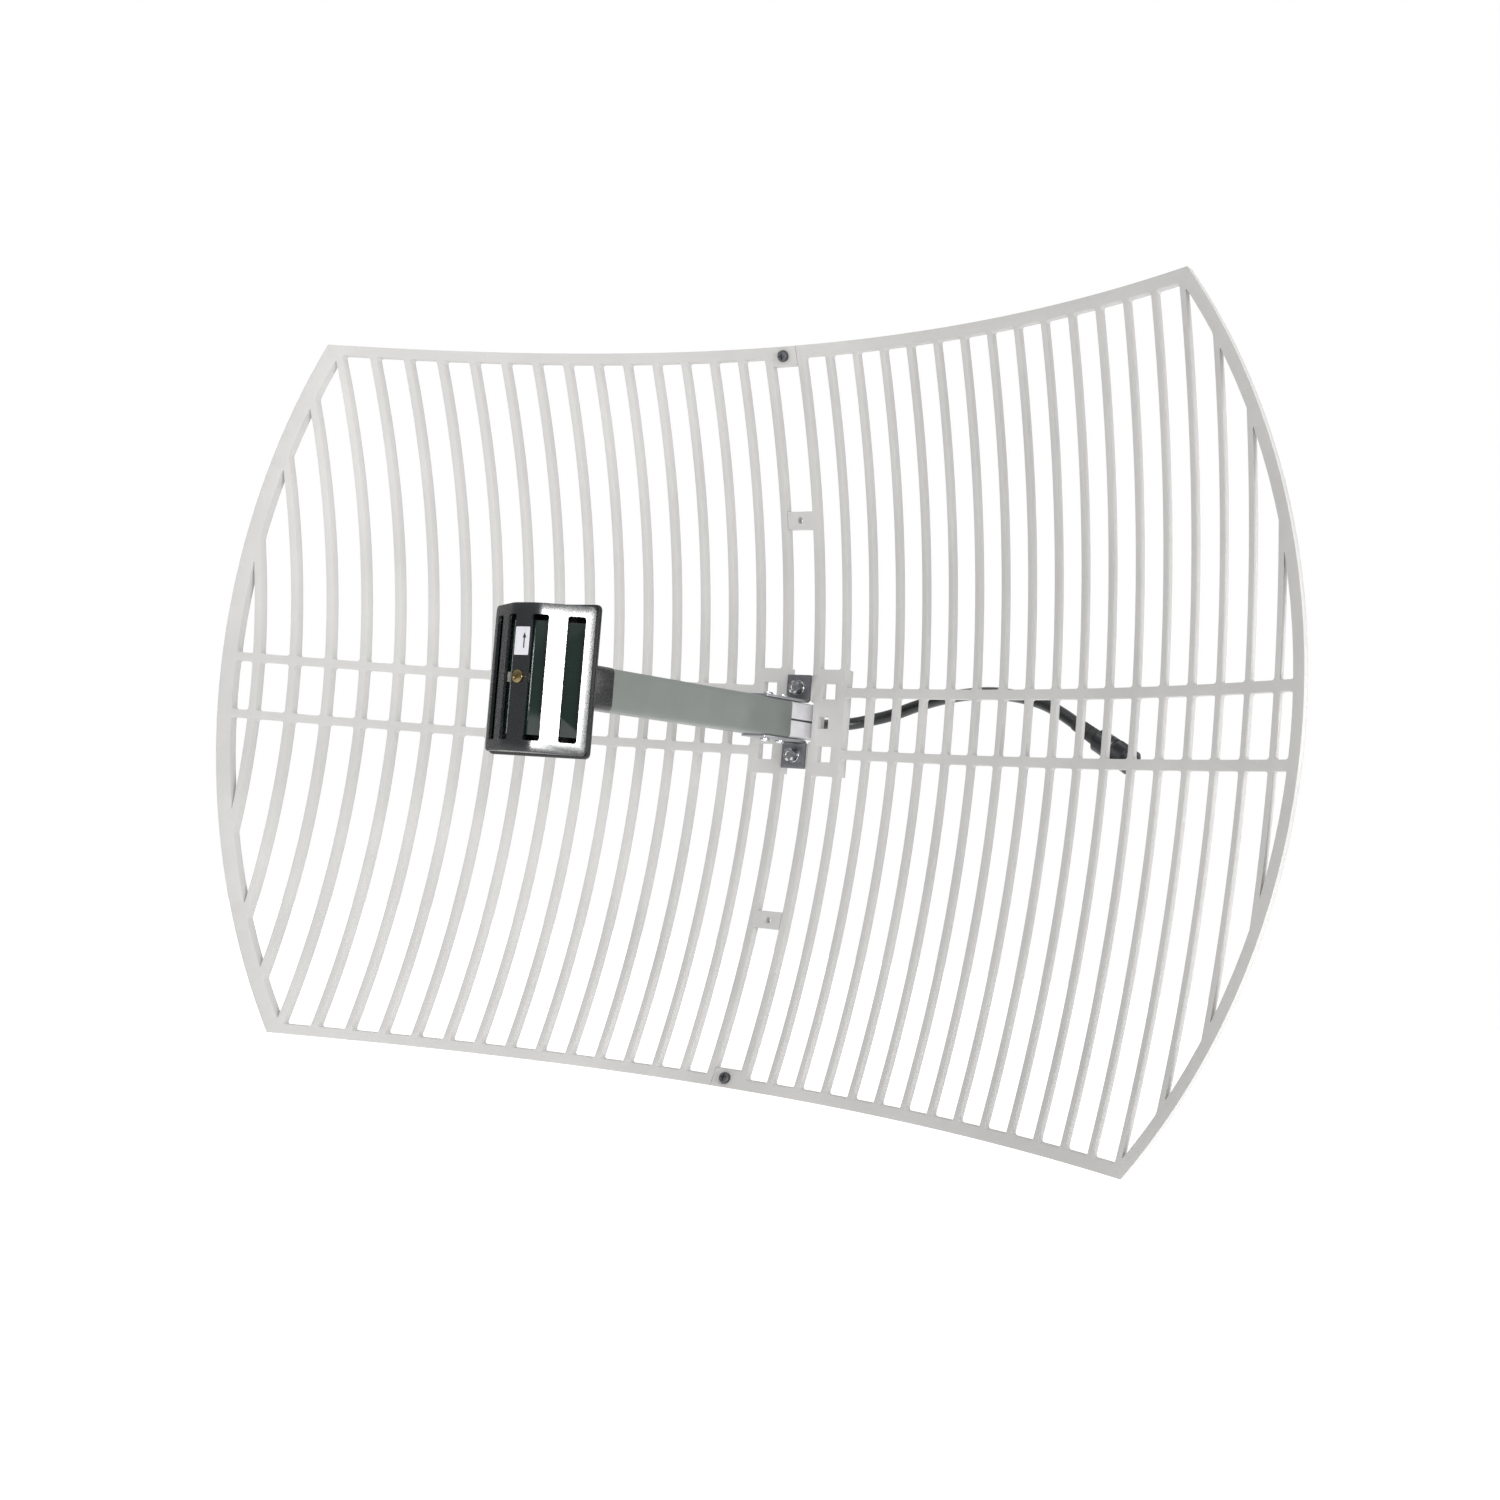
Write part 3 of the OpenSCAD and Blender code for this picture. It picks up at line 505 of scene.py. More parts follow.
def cast_place(x, z, share):
    """Where a point of the flat pattern lies on the casting. share runs from 0 on its front
    face to 1 on its back."""
    front = VERTEX_Y - (x * x + z * z) / (4 * FOCAL)
    back = front + RIB_DEPTH
    on_tab = x < GAP_HALF - STEP / 2
    in_hub = not on_tab and x < HUB_X1 + STEP / 2 and abs(z) < HUB_HALF_H + STEP / 2
    if on_tab and abs(z) < HUB_HALF_H:
        front = VERTEX_Y - TONGUE_FRONT + (TONGUE_T if z < 0 else 0)
        back = front + TONGUE_T - LAP_GAP
    elif on_tab:
        in_front = z < TAB_H - EDGE_TAB_Z or abs(z - LAP_Z) < TAB_H
        front += 0 if in_front else RIB_DEPTH / 2
        back = front + RIB_DEPTH / 2 - LAP_GAP
    elif in_hub:
        in_pocket = (POCKET_X[0] + STEP / 2 < x < POCKET_X[1] - STEP / 2
                     and abs(z) < POCKET_Z - STEP / 2)
        on_boss = x < BOSS[0] + STEP / 2 and abs(z) < BOSS[1] + STEP / 2
        back = HUB_WEB_Y if in_pocket and not on_boss else 0
    return Vector((x, front + share * (back - front), z))


def casting():
    """One half: its flat pattern, cut where its depth steps, thickened and laid on the dish."""
    cuts_x = [GAP_HALF, GAP_HALF - STEP, POCKET_X[0], POCKET_X[0] + STEP, POCKET_X[1] - STEP,
              POCKET_X[1], BOSS[0], BOSS[0] + STEP, HUB_X1, HUB_X1 + STEP]
    cuts_x += [HUB_X1 + 9 * i for i in range(1, 51)]
    depth_steps = (POCKET_Z, POCKET_Z - STEP, BOSS[1], BOSS[1] + STEP, HUB_HALF_H, HUB_HALF_H + STEP)
    cuts_z = [s * z for s in (-1, 1) for z in depth_steps]
    cuts_z += [12 * i for i in range(-24, 25)]
    bm = thickened(flat_sheet(casting_outline(), casting_holes(), cuts_x, cuts_z), RIB_DEPTH, 0.9)
    for vert in bm.verts:
        vert.co = cast_place(vert.co.x, vert.co.y, -vert.co.z / RIB_DEPTH)
    return bm


# Polyester powder coat on cast aluminium: light warm grey, satin, with the slight orange peel
# of the stoved powder and cloudy patches of dust.
powder_coat, tree, shader, place = new_finish("grey_polyester_powder_coat", IOR=1.5)
cloud = add(tree, "ShaderNodeTexNoise", {"Vector": place, "Scale": 1 / (90 * MM), "Detail": 5.0})
wear = add(tree, "ShaderNodeTexNoise", {"Vector": place, "Scale": 1 / (12 * MM), "Detail": 4.0})
peel = add(tree, "ShaderNodeTexNoise", {"Vector": place, "Scale": 1 / (1.6 * MM), "Detail": 2.0})
patches = add(tree, "ShaderNodeMapRange", {"Value": cloud, "To Min": -0.4, "To Max": 1.4})
wire(tree, shader, {
    "Base Color": add(tree, "ShaderNodeMix", {
        "Factor": patches, "A": linear("#b1b0af"), "B": linear("#bebdbb")}, data_type="RGBA"),
    "Roughness": add(tree, "ShaderNodeMapRange", {"Value": wear, "To Min": 0.36, "To Max": 0.54}),
    "Normal": add(tree, "ShaderNodeBump", {"Height": peel, "Distance": 0.06 * MM, "Strength": 0.45}),
})

for side, degrees in (("right", 0), ("left", 180)):
    half = placed(casting(), Matrix.Rotation(math.radians(degrees), 4, "Y"))
    make_piece(side + "_casting", half, powder_coat, ["reflector_" + side], sharp=32)

# ---------------------------------------------------------------------------------------
# Lap screws: M5 pan-head machine screws of dark passivated steel through the top and bottom
# tabs, from the front, with a washer and a zinc plated nut behind.
# ---------------------------------------------------------------------------------------
M5_D = 5.0
M5_HEAD = (9.5, 3.6)
M5_LEN = 14.0
M5_PITCH = 0.8
M5_NUT = (8.0, 4.0)
M5_WASHER = (5.3, 10.0, 1.0)
LAP_SLOPE = math.atan(EDGE_TAB_Z / (2 * FOCAL))
LAP_SEAT = 0.05
LAP_BACK = RIB_DEPTH * math.cos(LAP_SLOPE) + LAP_SEAT


def ahead_of_vertex(x, z, ahead):
    """Stands a shape, made up its own Z, along the boresight at a distance ahead of the vertex."""
    return Matrix.Translation((x, VERTEX_Y - ahead, z)) @ Matrix.Rotation(math.radians(90), 4, "X")


def on_lap_tabs(ahead):
    """Stands a shape square to the casting on the top and the bottom lap tab."""
    depth = EDGE_TAB_Z ** 2 / (4 * FOCAL)
    return [
        ahead_of_vertex(0, side * EDGE_TAB_Z, depth)
        @ Matrix.Rotation(side * LAP_SLOPE, 4, "X") @ Matrix.Translation((0, 0, ahead))
        for side in (-1, 1)
    ]


def cross(span, width):
    """The outline of a cross recess."""
    a, b = span / 2, width / 2
    return [(a, -b), (a, b), (b, b), (b, a), (-b, a), (-b, b),
            (-a, b), (-a, -b), (-b, -b), (-b, -a), (b, -a), (b, -b)]


def headed(top_r, top, recess, depth, rings, steps=40):
    """A screw made from the flat top of its head: a recess sunk in it, and the rest drawn down
    through rings of a radius and a height."""
    bm = flat_sheet(circle(0, 0, top_r, steps), [recess])
    bmesh.ops.translate(bm, vec=(0, 0, top), verts=bm.verts[:])
    rims = [e for e in bm.edges if e.is_boundary]
    outer = [e for e in rims if all(v.co.xy.length > top_r * 0.99 for v in e.verts)]
    sunk = bmesh.ops.extrude_edge_only(bm, edges=[e for e in rims if e not in outer])
    floor_verts = [v for v in sunk["geom"] if isinstance(v, bmesh.types.BMVert)]
    bmesh.ops.scale(bm, vec=(0.8, 0.8, 1), verts=floor_verts)
    bmesh.ops.translate(bm, vec=(0, 0, -depth), verts=floor_verts)
    floor_rim = [e for e in bm.edges if e.is_boundary and all(v in floor_verts for v in e.verts)]
    bmesh.ops.triangle_fill(bm, edges=floor_rim, use_beauty=True)
    radius, height = top_r, top
    for ring_r, ring_h in rings:
        drawn = bmesh.ops.extrude_edge_only(bm, edges=outer)
        verts = [v for v in drawn["geom"] if isinstance(v, bmesh.types.BMVert)]
        bmesh.ops.scale(bm, vec=(ring_r / radius, ring_r / radius, 1), verts=verts)
        bmesh.ops.translate(bm, vec=(0, 0, ring_h - height), verts=verts)
        outer = [e for e in drawn["geom"] if isinstance(e, bmesh.types.BMEdge) and e.is_boundary]
        radius, height = ring_r, ring_h
    bmesh.ops.edgeloop_fill(bm, edges=outer)
    return bm


def pan_head(d, head_d, head_h, length, pitch):
    """A pan-head machine screw with a cross recess. Its head sits on the plane z = 0."""
    r = head_d / 2
    rings = [(r * 0.86, head_h * 0.93), (r * 0.96, head_h * 0.72), (r, head_h * 0.42), (r, 0.15),
             (r - 0.15, 0), (d / 2, 0), (d / 2, -0.8)]
    rings += thread(d / 2, 0.3, -1, -(length - 0.8), pitch)
    rings += [(d / 2 - 0.3, 0.6 - length), (d / 2 - 0.7, -length)]
    return headed(r * 0.62, head_h, cross(head_d * 0.52, head_d * 0.13), head_h * 0.55, rings)


def hexagonal(bm, across, *faces):
    """Makes the widest part of a turned shape six-sided. Each face is a height and 1 or -1 for
    up or down, and gets the conical chamfer of a turned blank."""
    corner_r = across / 2 / math.cos(math.radians(30))
    sixth = math.radians(60)
    for vert in bm.verts:
        radius = vert.co.xy.length
        if radius < corner_r - 0.01:
            continue
        off_flat = (math.atan2(vert.co.y, vert.co.x) + sixth / 2) % sixth - sixth / 2
        reach = across / 2 / math.cos(off_flat)
        vert.co.xy *= reach / radius
        for height, up in faces:
            if abs(vert.co.z - height) < 0.01:
                vert.co.z -= up * (reach - across / 2) * math.tan(math.radians(30))
    return bm


def hex_nut(across, height, d):
    """A nut that stands on the plane z = 0, with ridges for its thread."""
    corner_r = across / 2 / math.cos(math.radians(30))
    bore = d / 2 - 0.15
    profile = [(bore + 0.5, 0), (across * 0.47, 0), (corner_r, 0), (corner_r, height),
               (across * 0.47, height), (bore + 0.5, height)]
    profile += thread(bore + 0.35, 0.35, height - 0.4, 0.4, 0.8)
    return hexagonal(turned(profile, 72), across, (0, -1), (height, 1))


# Dark passivated steel: dark grey and satin, paler in worn patches.
dark_steel = patterned(
    "black_passivated_steel", ("#434447", "#606164"), (3, 4.0), (0.30, 0.52), Metallic=0.9)

# Bright zinc plate on steel: cool silver with a spangled, slightly uneven gloss.
bright_zinc, tree, shader, place = new_finish("bright_zinc_plated_steel", Metallic=1.0)
spangle = add(tree, "ShaderNodeTexVoronoi", {"Vector": place, "Scale": 1 / (1.5 * MM)})
haze = add(tree, "ShaderNodeTexNoise", {"Vector": place, "Scale": 1 / (4 * MM), "Detail": 3.0})
wire(tree, shader, {
    "Base Color": add(tree, "ShaderNodeMix", {
        "Factor": haze, "A": linear("#b3b4b7"), "B": linear("#d6d7da")}, data_type="RGBA"),
    "Roughness": add(tree, "ShaderNodeMapRange", {"Value": haze, "To Min": 0.08, "To Max": 0.24}),
    "Normal": add(tree, "ShaderNodeBump", {"Height": spangle, "Distance": 0.02 * MM, "Strength": 0.3}),
})

lap_screw = pan_head(M5_D, *M5_HEAD, M5_LEN, M5_PITCH)
make_piece("lap_tab_screws", placed(lap_screw, *on_lap_tabs(LAP_SEAT)),
           dark_steel, ["lap_screws"])
lap_washer = turned(chamfered(M5_WASHER[0] / 2, M5_WASHER[1] / 2, 0, M5_WASHER[2], 0.15), 48)
make_piece("lap_tab_washers", placed(lap_washer, *on_lap_tabs(-LAP_BACK - M5_WASHER[2])),
           bright_zinc, ["lap_washers"])
lap_nut = hex_nut(*M5_NUT, M5_D)
make_piece("lap_tab_nuts", placed(lap_nut, *on_lap_tabs(-LAP_BACK - M5_WASHER[2] - M5_NUT[1])),
           bright_zinc, ["lap_nuts"])

# ---------------------------------------------------------------------------------------
# Boom brackets: two straps pressed from 2 mm steel and bent through a right angle. A flange
# bolts to the hub's tongues, and a leg lies along the boom. Dull zinc, the leg painted paler as a
# painted reflection.
# ---------------------------------------------------------------------------------------
STRAP_T = 2.0
STRAP_W = 23.0
LEG_REACH = 64.0
LEG_Z = 17.6
FLANGE_TOP = 39.0
FLANGE_AHEAD = 2.8
BEND_R = 2.0
BEND_LEN = math.pi / 2 * (BEND_R + STRAP_T / 2)
SCREW_STATIONS = (24, 46)
LEG_HOLE_R = 2.2
BEND_Y = VERTEX_Y - FLANGE_AHEAD - BEND_R
BEND_Z = LEG_Z + BEND_R


def bent_strap():
    """The upper strap, from its flat pattern: the leg is at negative y, and the flange beyond
    the bend."""
    leg = VERTEX_Y - LEG_REACH - BEND_Y
    end = BEND_LEN + FLANGE_TOP - BEND_Z
    holes = [circle(0, BEND_LEN + HUB_BOLT_Z - BEND_Z, HUB_HOLE_R)]
    holes += [circle(0, VERTEX_Y - station - BEND_Y, LEG_HOLE_R) for station in SCREW_STATIONS]
    outline = rounded(rectangle(-STRAP_W / 2, STRAP_W / 2, leg, end), 1.2)
    cuts = [BEND_LEN * i / 8 for i in range(9)]
    bm = thickened(flat_sheet(outline, holes, (), cuts), STRAP_T, 0.25)
    for vert in bm.verts:
        x, along, height = vert.co
        turn = min(max(along / BEND_LEN, 0), 1) * math.pi / 2
        radius = BEND_R - height
        run, rise = min(along, 0), max(along - BEND_LEN, 0)
        y = BEND_Y + run + radius * math.sin(turn)
        vert.co = (x, y, BEND_Z + rise - radius * math.cos(turn))
    return bm


# Dull zinc on rolled steel: mid grey, with fine rolling lines. The flange keeps a dark grey, partly
# the zinc's own tone and partly painted shade for the dark walls it mirrors. The leg is painted pale,
# a painted reflection of the bright floor below it.
dull_zinc, tree, shader, place = new_finish("zinc_plated_steel_painted_reflection", Metallic=0.75)
rolled = add(tree, "ShaderNodeMapping", {"Vector": place, "Scale": (1.0, 0.08, 0.08)})
lines = add(tree, "ShaderNodeTexNoise", {"Vector": rolled, "Scale": 1 / (0.5 * MM), "Detail": 3.0})
bloom = add(tree, "ShaderNodeTexNoise", {"Vector": place, "Scale": 1 / (7 * MM), "Detail": 5.0})
forward = add(tree, "ShaderNodeSeparateXYZ", {"Vector": place}, "Y")
# Mask along the strap: 0 on the flange, 1 on the leg, which gets the pale painted reflection.
painted_leg_reflection = add(tree, "ShaderNodeMapRange", {
    "Value": forward, "From Min": BEND_Y * MM, "From Max": (BEND_Y - 8) * MM})
# The flange's dark grey: the zinc's own tone with blotches, made darker as painted shade.
zinc_and_painted_shade = add(tree, "ShaderNodeMix", {
    "Factor": bloom, "A": linear("#5c5d60"), "B": linear("#818286")}, data_type="RGBA")
wire(tree, shader, {
    "Base Color": add(tree, "ShaderNodeMix", {
        "Factor": painted_leg_reflection, "A": zinc_and_painted_shade, "B": linear("#a6a7aa")}, data_type="RGBA"),
    "Roughness": add(tree, "ShaderNodeMapRange", {"Value": lines, "To Min": 0.30, "To Max": 0.52}),
    "Normal": add(tree, "ShaderNodeBump", {"Height": lines, "Distance": 0.02 * MM, "Strength": 0.4}),
})

for side, degrees in (("upper", 0), ("lower", 180)):
    strap = placed(bent_strap(), Matrix.Rotation(math.radians(degrees), 4, "Y"))
    make_piece(side + "_strap", strap, dull_zinc, [side + "_boom_bracket"])

# ---------------------------------------------------------------------------------------
# Hub bolts: two M6 hexagon bolts of bright zinc plated steel, each with a flat washer and a
# split spring washer under its head, through a bracket and both tongues to a nut behind.
# ---------------------------------------------------------------------------------------
M6_D = 6.0
M6_PITCH = 1.0
M6_ACROSS = 10.0
M6_HEAD_H = 4.0
M6_NUT_H = 3.2
M6_WASHER = (6.4, 12.5, 1.4)
M6_SPRING = (6.2, 10.6, 1.6)
HUB_BACK = FLANGE_AHEAD - STRAP_T - 2 * TONGUE_T
BOLT_HEAD_AT = FLANGE_AHEAD + M6_WASHER[2] + M6_SPRING[2]
BOLT_LEN = BOLT_HEAD_AT - HUB_BACK + M6_NUT_H + 0.4


def hex_bolt():
    """The hub bolt, with its head on the plane z = 0."""
    corner_r = M6_ACROSS / 2 / math.cos(math.radians(30))
    profile = [(0, M6_HEAD_H - 0.3), (2.6, M6_HEAD_H - 0.3), (2.9, M6_HEAD_H),
               (M6_ACROSS * 0.47, M6_HEAD_H), (corner_r, M6_HEAD_H), (corner_r, 0.3),
               (M6_ACROSS * 0.47, 0.3), (M6_ACROSS * 0.47, 0), (M6_D / 2, 0), (M6_D / 2, -1)]
    profile += thread(M6_D / 2, 0.35, -1.2, 1 - BOLT_LEN, M6_PITCH)
    profile += [(M6_D / 2 - 0.8, -BOLT_LEN), (0, -BOLT_LEN)]
    return hexagonal(turned(profile, 72, closed=False), M6_ACROSS, (M6_HEAD_H, 1))


def spring_washer(bore, outside, height):
    """A square-section ring, split at one side, with its ends a little out of line."""
    wire_w = (outside - bore) / 2
    lift = 0.35
    bm = bmesh.new()
    bmesh.ops.create_grid(bm, x_segments=1, y_segments=1, size=0.5)
    bmesh.ops.scale(bm, vec=(wire_w, height - lift, 1), verts=bm.verts[:])
    bmesh.ops.rotate(bm, matrix=Matrix.Rotation(math.radians(90), 3, "X"), verts=bm.verts[:])
    bmesh.ops.translate(bm, vec=((bore + outside) / 4, 0, (height - lift) / 2), verts=bm.verts[:])
    steps = 44
    bmesh.ops.spin(bm, geom=bm.verts[:] + bm.edges[:] + bm.faces[:], cent=(0, 0, 0),
                   axis=(0, 0, 1), dvec=(0, 0, lift / steps), angle=math.radians(347), steps=steps)
    edges = [e for e in bm.edges if e.calc_face_angle(0) > math.radians(60)]
    bmesh.ops.bevel(bm, geom=edges, offset=0.15, segments=1, profile=0.5, material=-1,
                    affect="EDGES")
    return bm


def on_hub_bolts(ahead, turn=0):
    """Stands a shape on both hub bolts, turned so that the two differ."""
    return [
        ahead_of_vertex(0, side * HUB_BOLT_Z, ahead)
        @ Matrix.Rotation(math.radians(turn * side), 4, "Z")
        for side in (-1, 1)
    ]


make_piece("hub_hex_bolts", placed(hex_bolt(), *on_hub_bolts(BOLT_HEAD_AT, 17)),
           bright_zinc, ["hub_bolts"])
hub_washer = turned(chamfered(M6_WASHER[0] / 2, M6_WASHER[1] / 2, 0, M6_WASHER[2], 0.2), 48)
make_piece("hub_flat_washers", placed(hub_washer, *on_hub_bolts(FLANGE_AHEAD)),
           bright_zinc, ["hub_washers"])
split_washer = spring_washer(*M6_SPRING)
under_heads = on_hub_bolts(FLANGE_AHEAD + M6_WASHER[2], 35)
make_piece("hub_split_washers", placed(split_washer, *under_heads),
           dark_steel, ["hub_spring_washers"])
hub_nut = hex_nut(M6_ACROSS, M6_NUT_H, M6_D)
make_piece("hub_hex_nuts", placed(hub_nut, *on_hub_bolts(HUB_BACK - M6_NUT_H, 8)),
           bright_zinc, ["hub_nuts"])

# ---------------------------------------------------------------------------------------
# Boom: a 25 x 30 mm tube of extruded aluminium, bare, with a fine groove along each side. Its
# middle is covered by a thin grey-green PVC sleeve, shrunk on, and its back end by a grommet.
# ---------------------------------------------------------------------------------------
BOOM = (12.5, 15.0)
BOOM_R = 3.0
BOOM_WALL = 1.5
BOOM_BACK = 6.0
BOOM_FRONT = 325.0
GROOVE = (0.7, 0.9)
SLEEVE_T = 0.5
SLEEVE_SPAN = (29.0, 265.0)
RELIEF_LEN = 25.0
RELIEF_GROOVES = 6
RELIEF_R = (9.5, 6.5)
BORE_R = COAX_D / 2 + 0.05


def section(grow, corner_r):
    """The boom's rounded outline, grown or shrunk."""
    w, h = BOOM[0] + grow, BOOM[1] + grow
    return rounded(rectangle(-w, w, -h, h), corner_r)


def grooved(outline):
    """That outline with the groove let into its two long sides."""
    half, depth = GROOVE
    points = []
    for (x0, y0), (x1, y1) in zip(outline, outline[1:] + outline[:1]):
        points.append((x0, y0))
        if abs(x0 - x1) < 0.01 and y0 * y1 < 0:
            up = math.copysign(half, y1)
            inside = x0 - math.copysign(depth, x0)
            points += [(x0, -up), (inside, -up), (inside, up), (x0, up)]
    return points


def drawn_tube(outline, hole, start, end, edge_r):
    """A length of hollow section between two distances ahead of the vertex."""
    length = thickened(flat_sheet(outline, [hole]), end - start, edge_r)
    return placed(length, ahead_of_vertex(0, 0, end))


# Extruded aluminium: pale and bare, with faint die lines along it and a soft satin gloss. Its
# grooves are painted dark grey as painted shade.
bare_aluminium, tree, shader, place = new_finish("extruded_bare_aluminium", Metallic=0.55)
along = add(tree, "ShaderNodeMapping", {"Vector": place, "Scale": (1.0, 0.02, 1.0)})
die = add(tree, "ShaderNodeTexNoise", {"Vector": along, "Scale": 1 / (0.8 * MM), "Detail": 3.0})
stain = add(tree, "ShaderNodeTexNoise", {"Vector": place, "Scale": 1 / (9 * MM), "Detail": 5.0})
metal_tone = add(tree, "ShaderNodeMix", {
    "Factor": stain, "A": linear("#d6d5d9"), "B": linear("#f2f1f4")}, data_type="RGBA")
# Painted shade: the groove band, within the groove's half-width of the mid-height, is painted dark
# grey.
upwards = add(tree, "ShaderNodeSeparateXYZ", {"Vector": place}, "Z")
off_groove = add(tree, "ShaderNodeMath", {0: upwards}, operation="ABSOLUTE")
outside_painted_groove_shade = add(tree, "ShaderNodeMapRange", {
    "Value": off_groove, "From Min": GROOVE[0] * MM, "From Max": (GROOVE[0] + 0.3) * MM})
wire(tree, shader, {
    "Base Color": add(tree, "ShaderNodeMix", {
        "Factor": outside_painted_groove_shade, "A": linear("#4e4d4f"), "B": metal_tone}, data_type="RGBA"),
    "Roughness": add(tree, "ShaderNodeMapRange", {"Value": die, "To Min": 0.30, "To Max": 0.50}),
    "Normal": add(tree, "ShaderNodeBump", {"Height": die, "Distance": 0.02 * MM, "Strength": 0.35}),
})

# Shrunk PVC: grey-green and satin, paler where it is stretched, with faint ripples.
shrunk_pvc = patterned(
    "shrunk_grey_green_pvc", ("#626764", "#707572"), (28, 2.0), (0.32, 0.46), (5, 4.0),
    relief=((28, 2.0), 1.2, 0.25), IOR=1.53)

tube = drawn_tube(grooved(section(0, BOOM_R)), section(-BOOM_WALL, BOOM_R - BOOM_WALL),
                  -BOOM_BACK, BOOM_FRONT, 0.15)
make_piece("boom_extrusion", tube, bare_aluminium, ["boom_tube"])
sleeve = drawn_tube(section(SLEEVE_T, BOOM_R + SLEEVE_T), section(0.05, BOOM_R), *SLEEVE_SPAN, 0.1)
make_piece("boom_shrink_sleeve", sleeve, shrunk_pvc, ["boom_sleeve"])

flange_t = -VERTEX_Y - BOOM_BACK
flange = thickened(flat_sheet(section(-0.5, BOOM_R), [circle(0, 0, BORE_R)]), flange_t, 0.7)
relief_profile = [(BORE_R, -1), (RELIEF_R[0], -1), (RELIEF_R[0], 1.5)]
for i in range(RELIEF_GROOVES):
    low = 2.5 + i * 3.4
    swell = RELIEF_R[0] + (RELIEF_R[1] - RELIEF_R[0]) * low / RELIEF_LEN
    relief_profile += [
        (swell, low), (swell - 1.1, low + 0.5), (swell - 1.1, low + 1.3), (swell - 0.2, low + 1.8),
    ]
relief_profile += [
    (RELIEF_R[1], RELIEF_LEN - 0.5), (RELIEF_R[1] - 0.5, RELIEF_LEN), (BORE_R, RELIEF_LEN),
]
relief = placed(turned(relief_profile, 48), Matrix.Rotation(math.radians(-90), 4, "X"))
grommet = together(placed(flange, ahead_of_vertex(0, 0, -BOOM_BACK)), relief)
make_piece("cable_grommet", grommet, rubber, ["boom_grommet"])
finish_nodes({"inner_coax": jacket})

# ---------------------------------------------------------------------------------------
# Bracket screws: M4 pan-head screws of bright zinc plated steel, two through each bracket leg
# and the sleeve into the boom.
# ---------------------------------------------------------------------------------------
M4_D = 4.0
M4_HEAD = (8.0, 2.8)
M4_LEN = 8.0
M4_PITCH = 0.7

on_legs = [
    Matrix.Translation((0, VERTEX_Y - station, side * LEG_Z))
    @ Matrix.Rotation(math.radians(0 if side > 0 else 180), 4, "X")
    @ Matrix.Rotation(0.4 * station, 4, "Z")
    for side in (-1, 1) for station in SCREW_STATIONS
]
make_piece("strap_screws", placed(pan_head(M4_D, *M4_HEAD, M4_LEN, M4_PITCH), *on_legs),
           bright_zinc, ["bracket_screws"])

# ---------------------------------------------------------------------------------------
# Feed housing: black ABS, moulded with a fine spark texture. A neck is pushed over the boom's
# end and screwed to it, and its back plate carries the slotted front on a gasket.
# ---------------------------------------------------------------------------------------
PLATE_BACK = 325.0
PLATE_T = 3.0
FEED_W = 92.0
FEED_H = 104.0
PLATE_H = 108.0
NECK_WALL = 1.05
NECK_SCREW = 305.0
COVER_SCREW = (38.0, 47.0)
M3_D = 3.0
M3_HEAD = (5.6, 2.0)
M3_PITCH = 0.5
M3_HOLE_R = 1.7
NECK_SCREW_LEN = 5.0
COVER_SCREW_LEN = 8.0

# Spark-textured ABS: black and fairly glossy, its fine grain scattering a broad white glare.
# The grain is about 0.3 mm, drawn at 1.4 mm so that it shows.
spark_abs = patterned(
    "spark_textured_black_abs", ("#0c0d0f", "#16181a"), (14, 5.0), (0.18, 0.34), (1.4, 3.0),
    relief=((1.4, 3.0), 0.04, 0.35), IOR=1.54)

plate_corners = [(x * COVER_SCREW[0], z * COVER_SCREW[1]) for x in (-1, 1) for z in (-1, 1)]
screw_holes = [circle(x, z, M3_HOLE_R, 16) for x, z in plate_corners]
back_plate = thickened(
    flat_sheet(rounded(rectangle(-FEED_W / 2, FEED_W / 2, -PLATE_H / 2, PLATE_H / 2), 4),
               [circle(0, 0, BORE_R), *screw_holes]), PLATE_T, 0.7)
neck = drawn_tube(section(NECK_WALL, BOOM_R + NECK_WALL), section(0.05, BOOM_R),
                  SLEEVE_SPAN[1], PLATE_BACK + 1, 0.4)
housing = together(placed(back_plate, ahead_of_vertex(0, 0, PLATE_BACK + PLATE_T)), neck)
make_piece("feed_back_moulding", housing, spark_abs, ["feed_back_housing"])

neck_sides = [Matrix.Translation((side * (BOOM[0] + NECK_WALL), VERTEX_Y - NECK_SCREW, 0))
              @ Matrix.Rotation(math.radians(90 * side), 4, "Y") for side in (-1, 1)]
neck_screw = pan_head(M3_D, *M3_HEAD, NECK_SCREW_LEN, M3_PITCH)
make_piece("neck_screws", placed(neck_screw, *neck_sides),
           dark_steel, ["feed_neck_screws"])
behind_plate = [
    ahead_of_vertex(x, z, PLATE_BACK) @ Matrix.Rotation(math.radians(180), 4, "X")
    for x, z in plate_corners
]
cover_screw = pan_head(M3_D, *M3_HEAD, COVER_SCREW_LEN, M3_PITCH)
make_piece("cover_screws", placed(cover_screw, *behind_plate),
           dark_steel, ["feed_cover_screws"])
finish_nodes({"feed_gasket": rubber})

# ---------------------------------------------------------------------------------------
# Slotted front: a 2.2 mm moulding of the same ABS. Its face has a flat middle bar, a bend each
# side, and wings swept back, with four upright slots, and its rim reaches back to the gasket.
# ---------------------------------------------------------------------------------------
FRONT_AT = 354.0
SHELL_BACK = 329.0
WING_FLAT = 5.0
WING_R = 18.0
WING_ANGLE = math.radians(32)
FRONT_WALL = 2.2
SLOTS = ((7.2, 18.4), (29.6, 40.4))
SLOT_Z = 44.0
SLOT_R = 1.5
TERMINAL_HOLE_R = 2.2


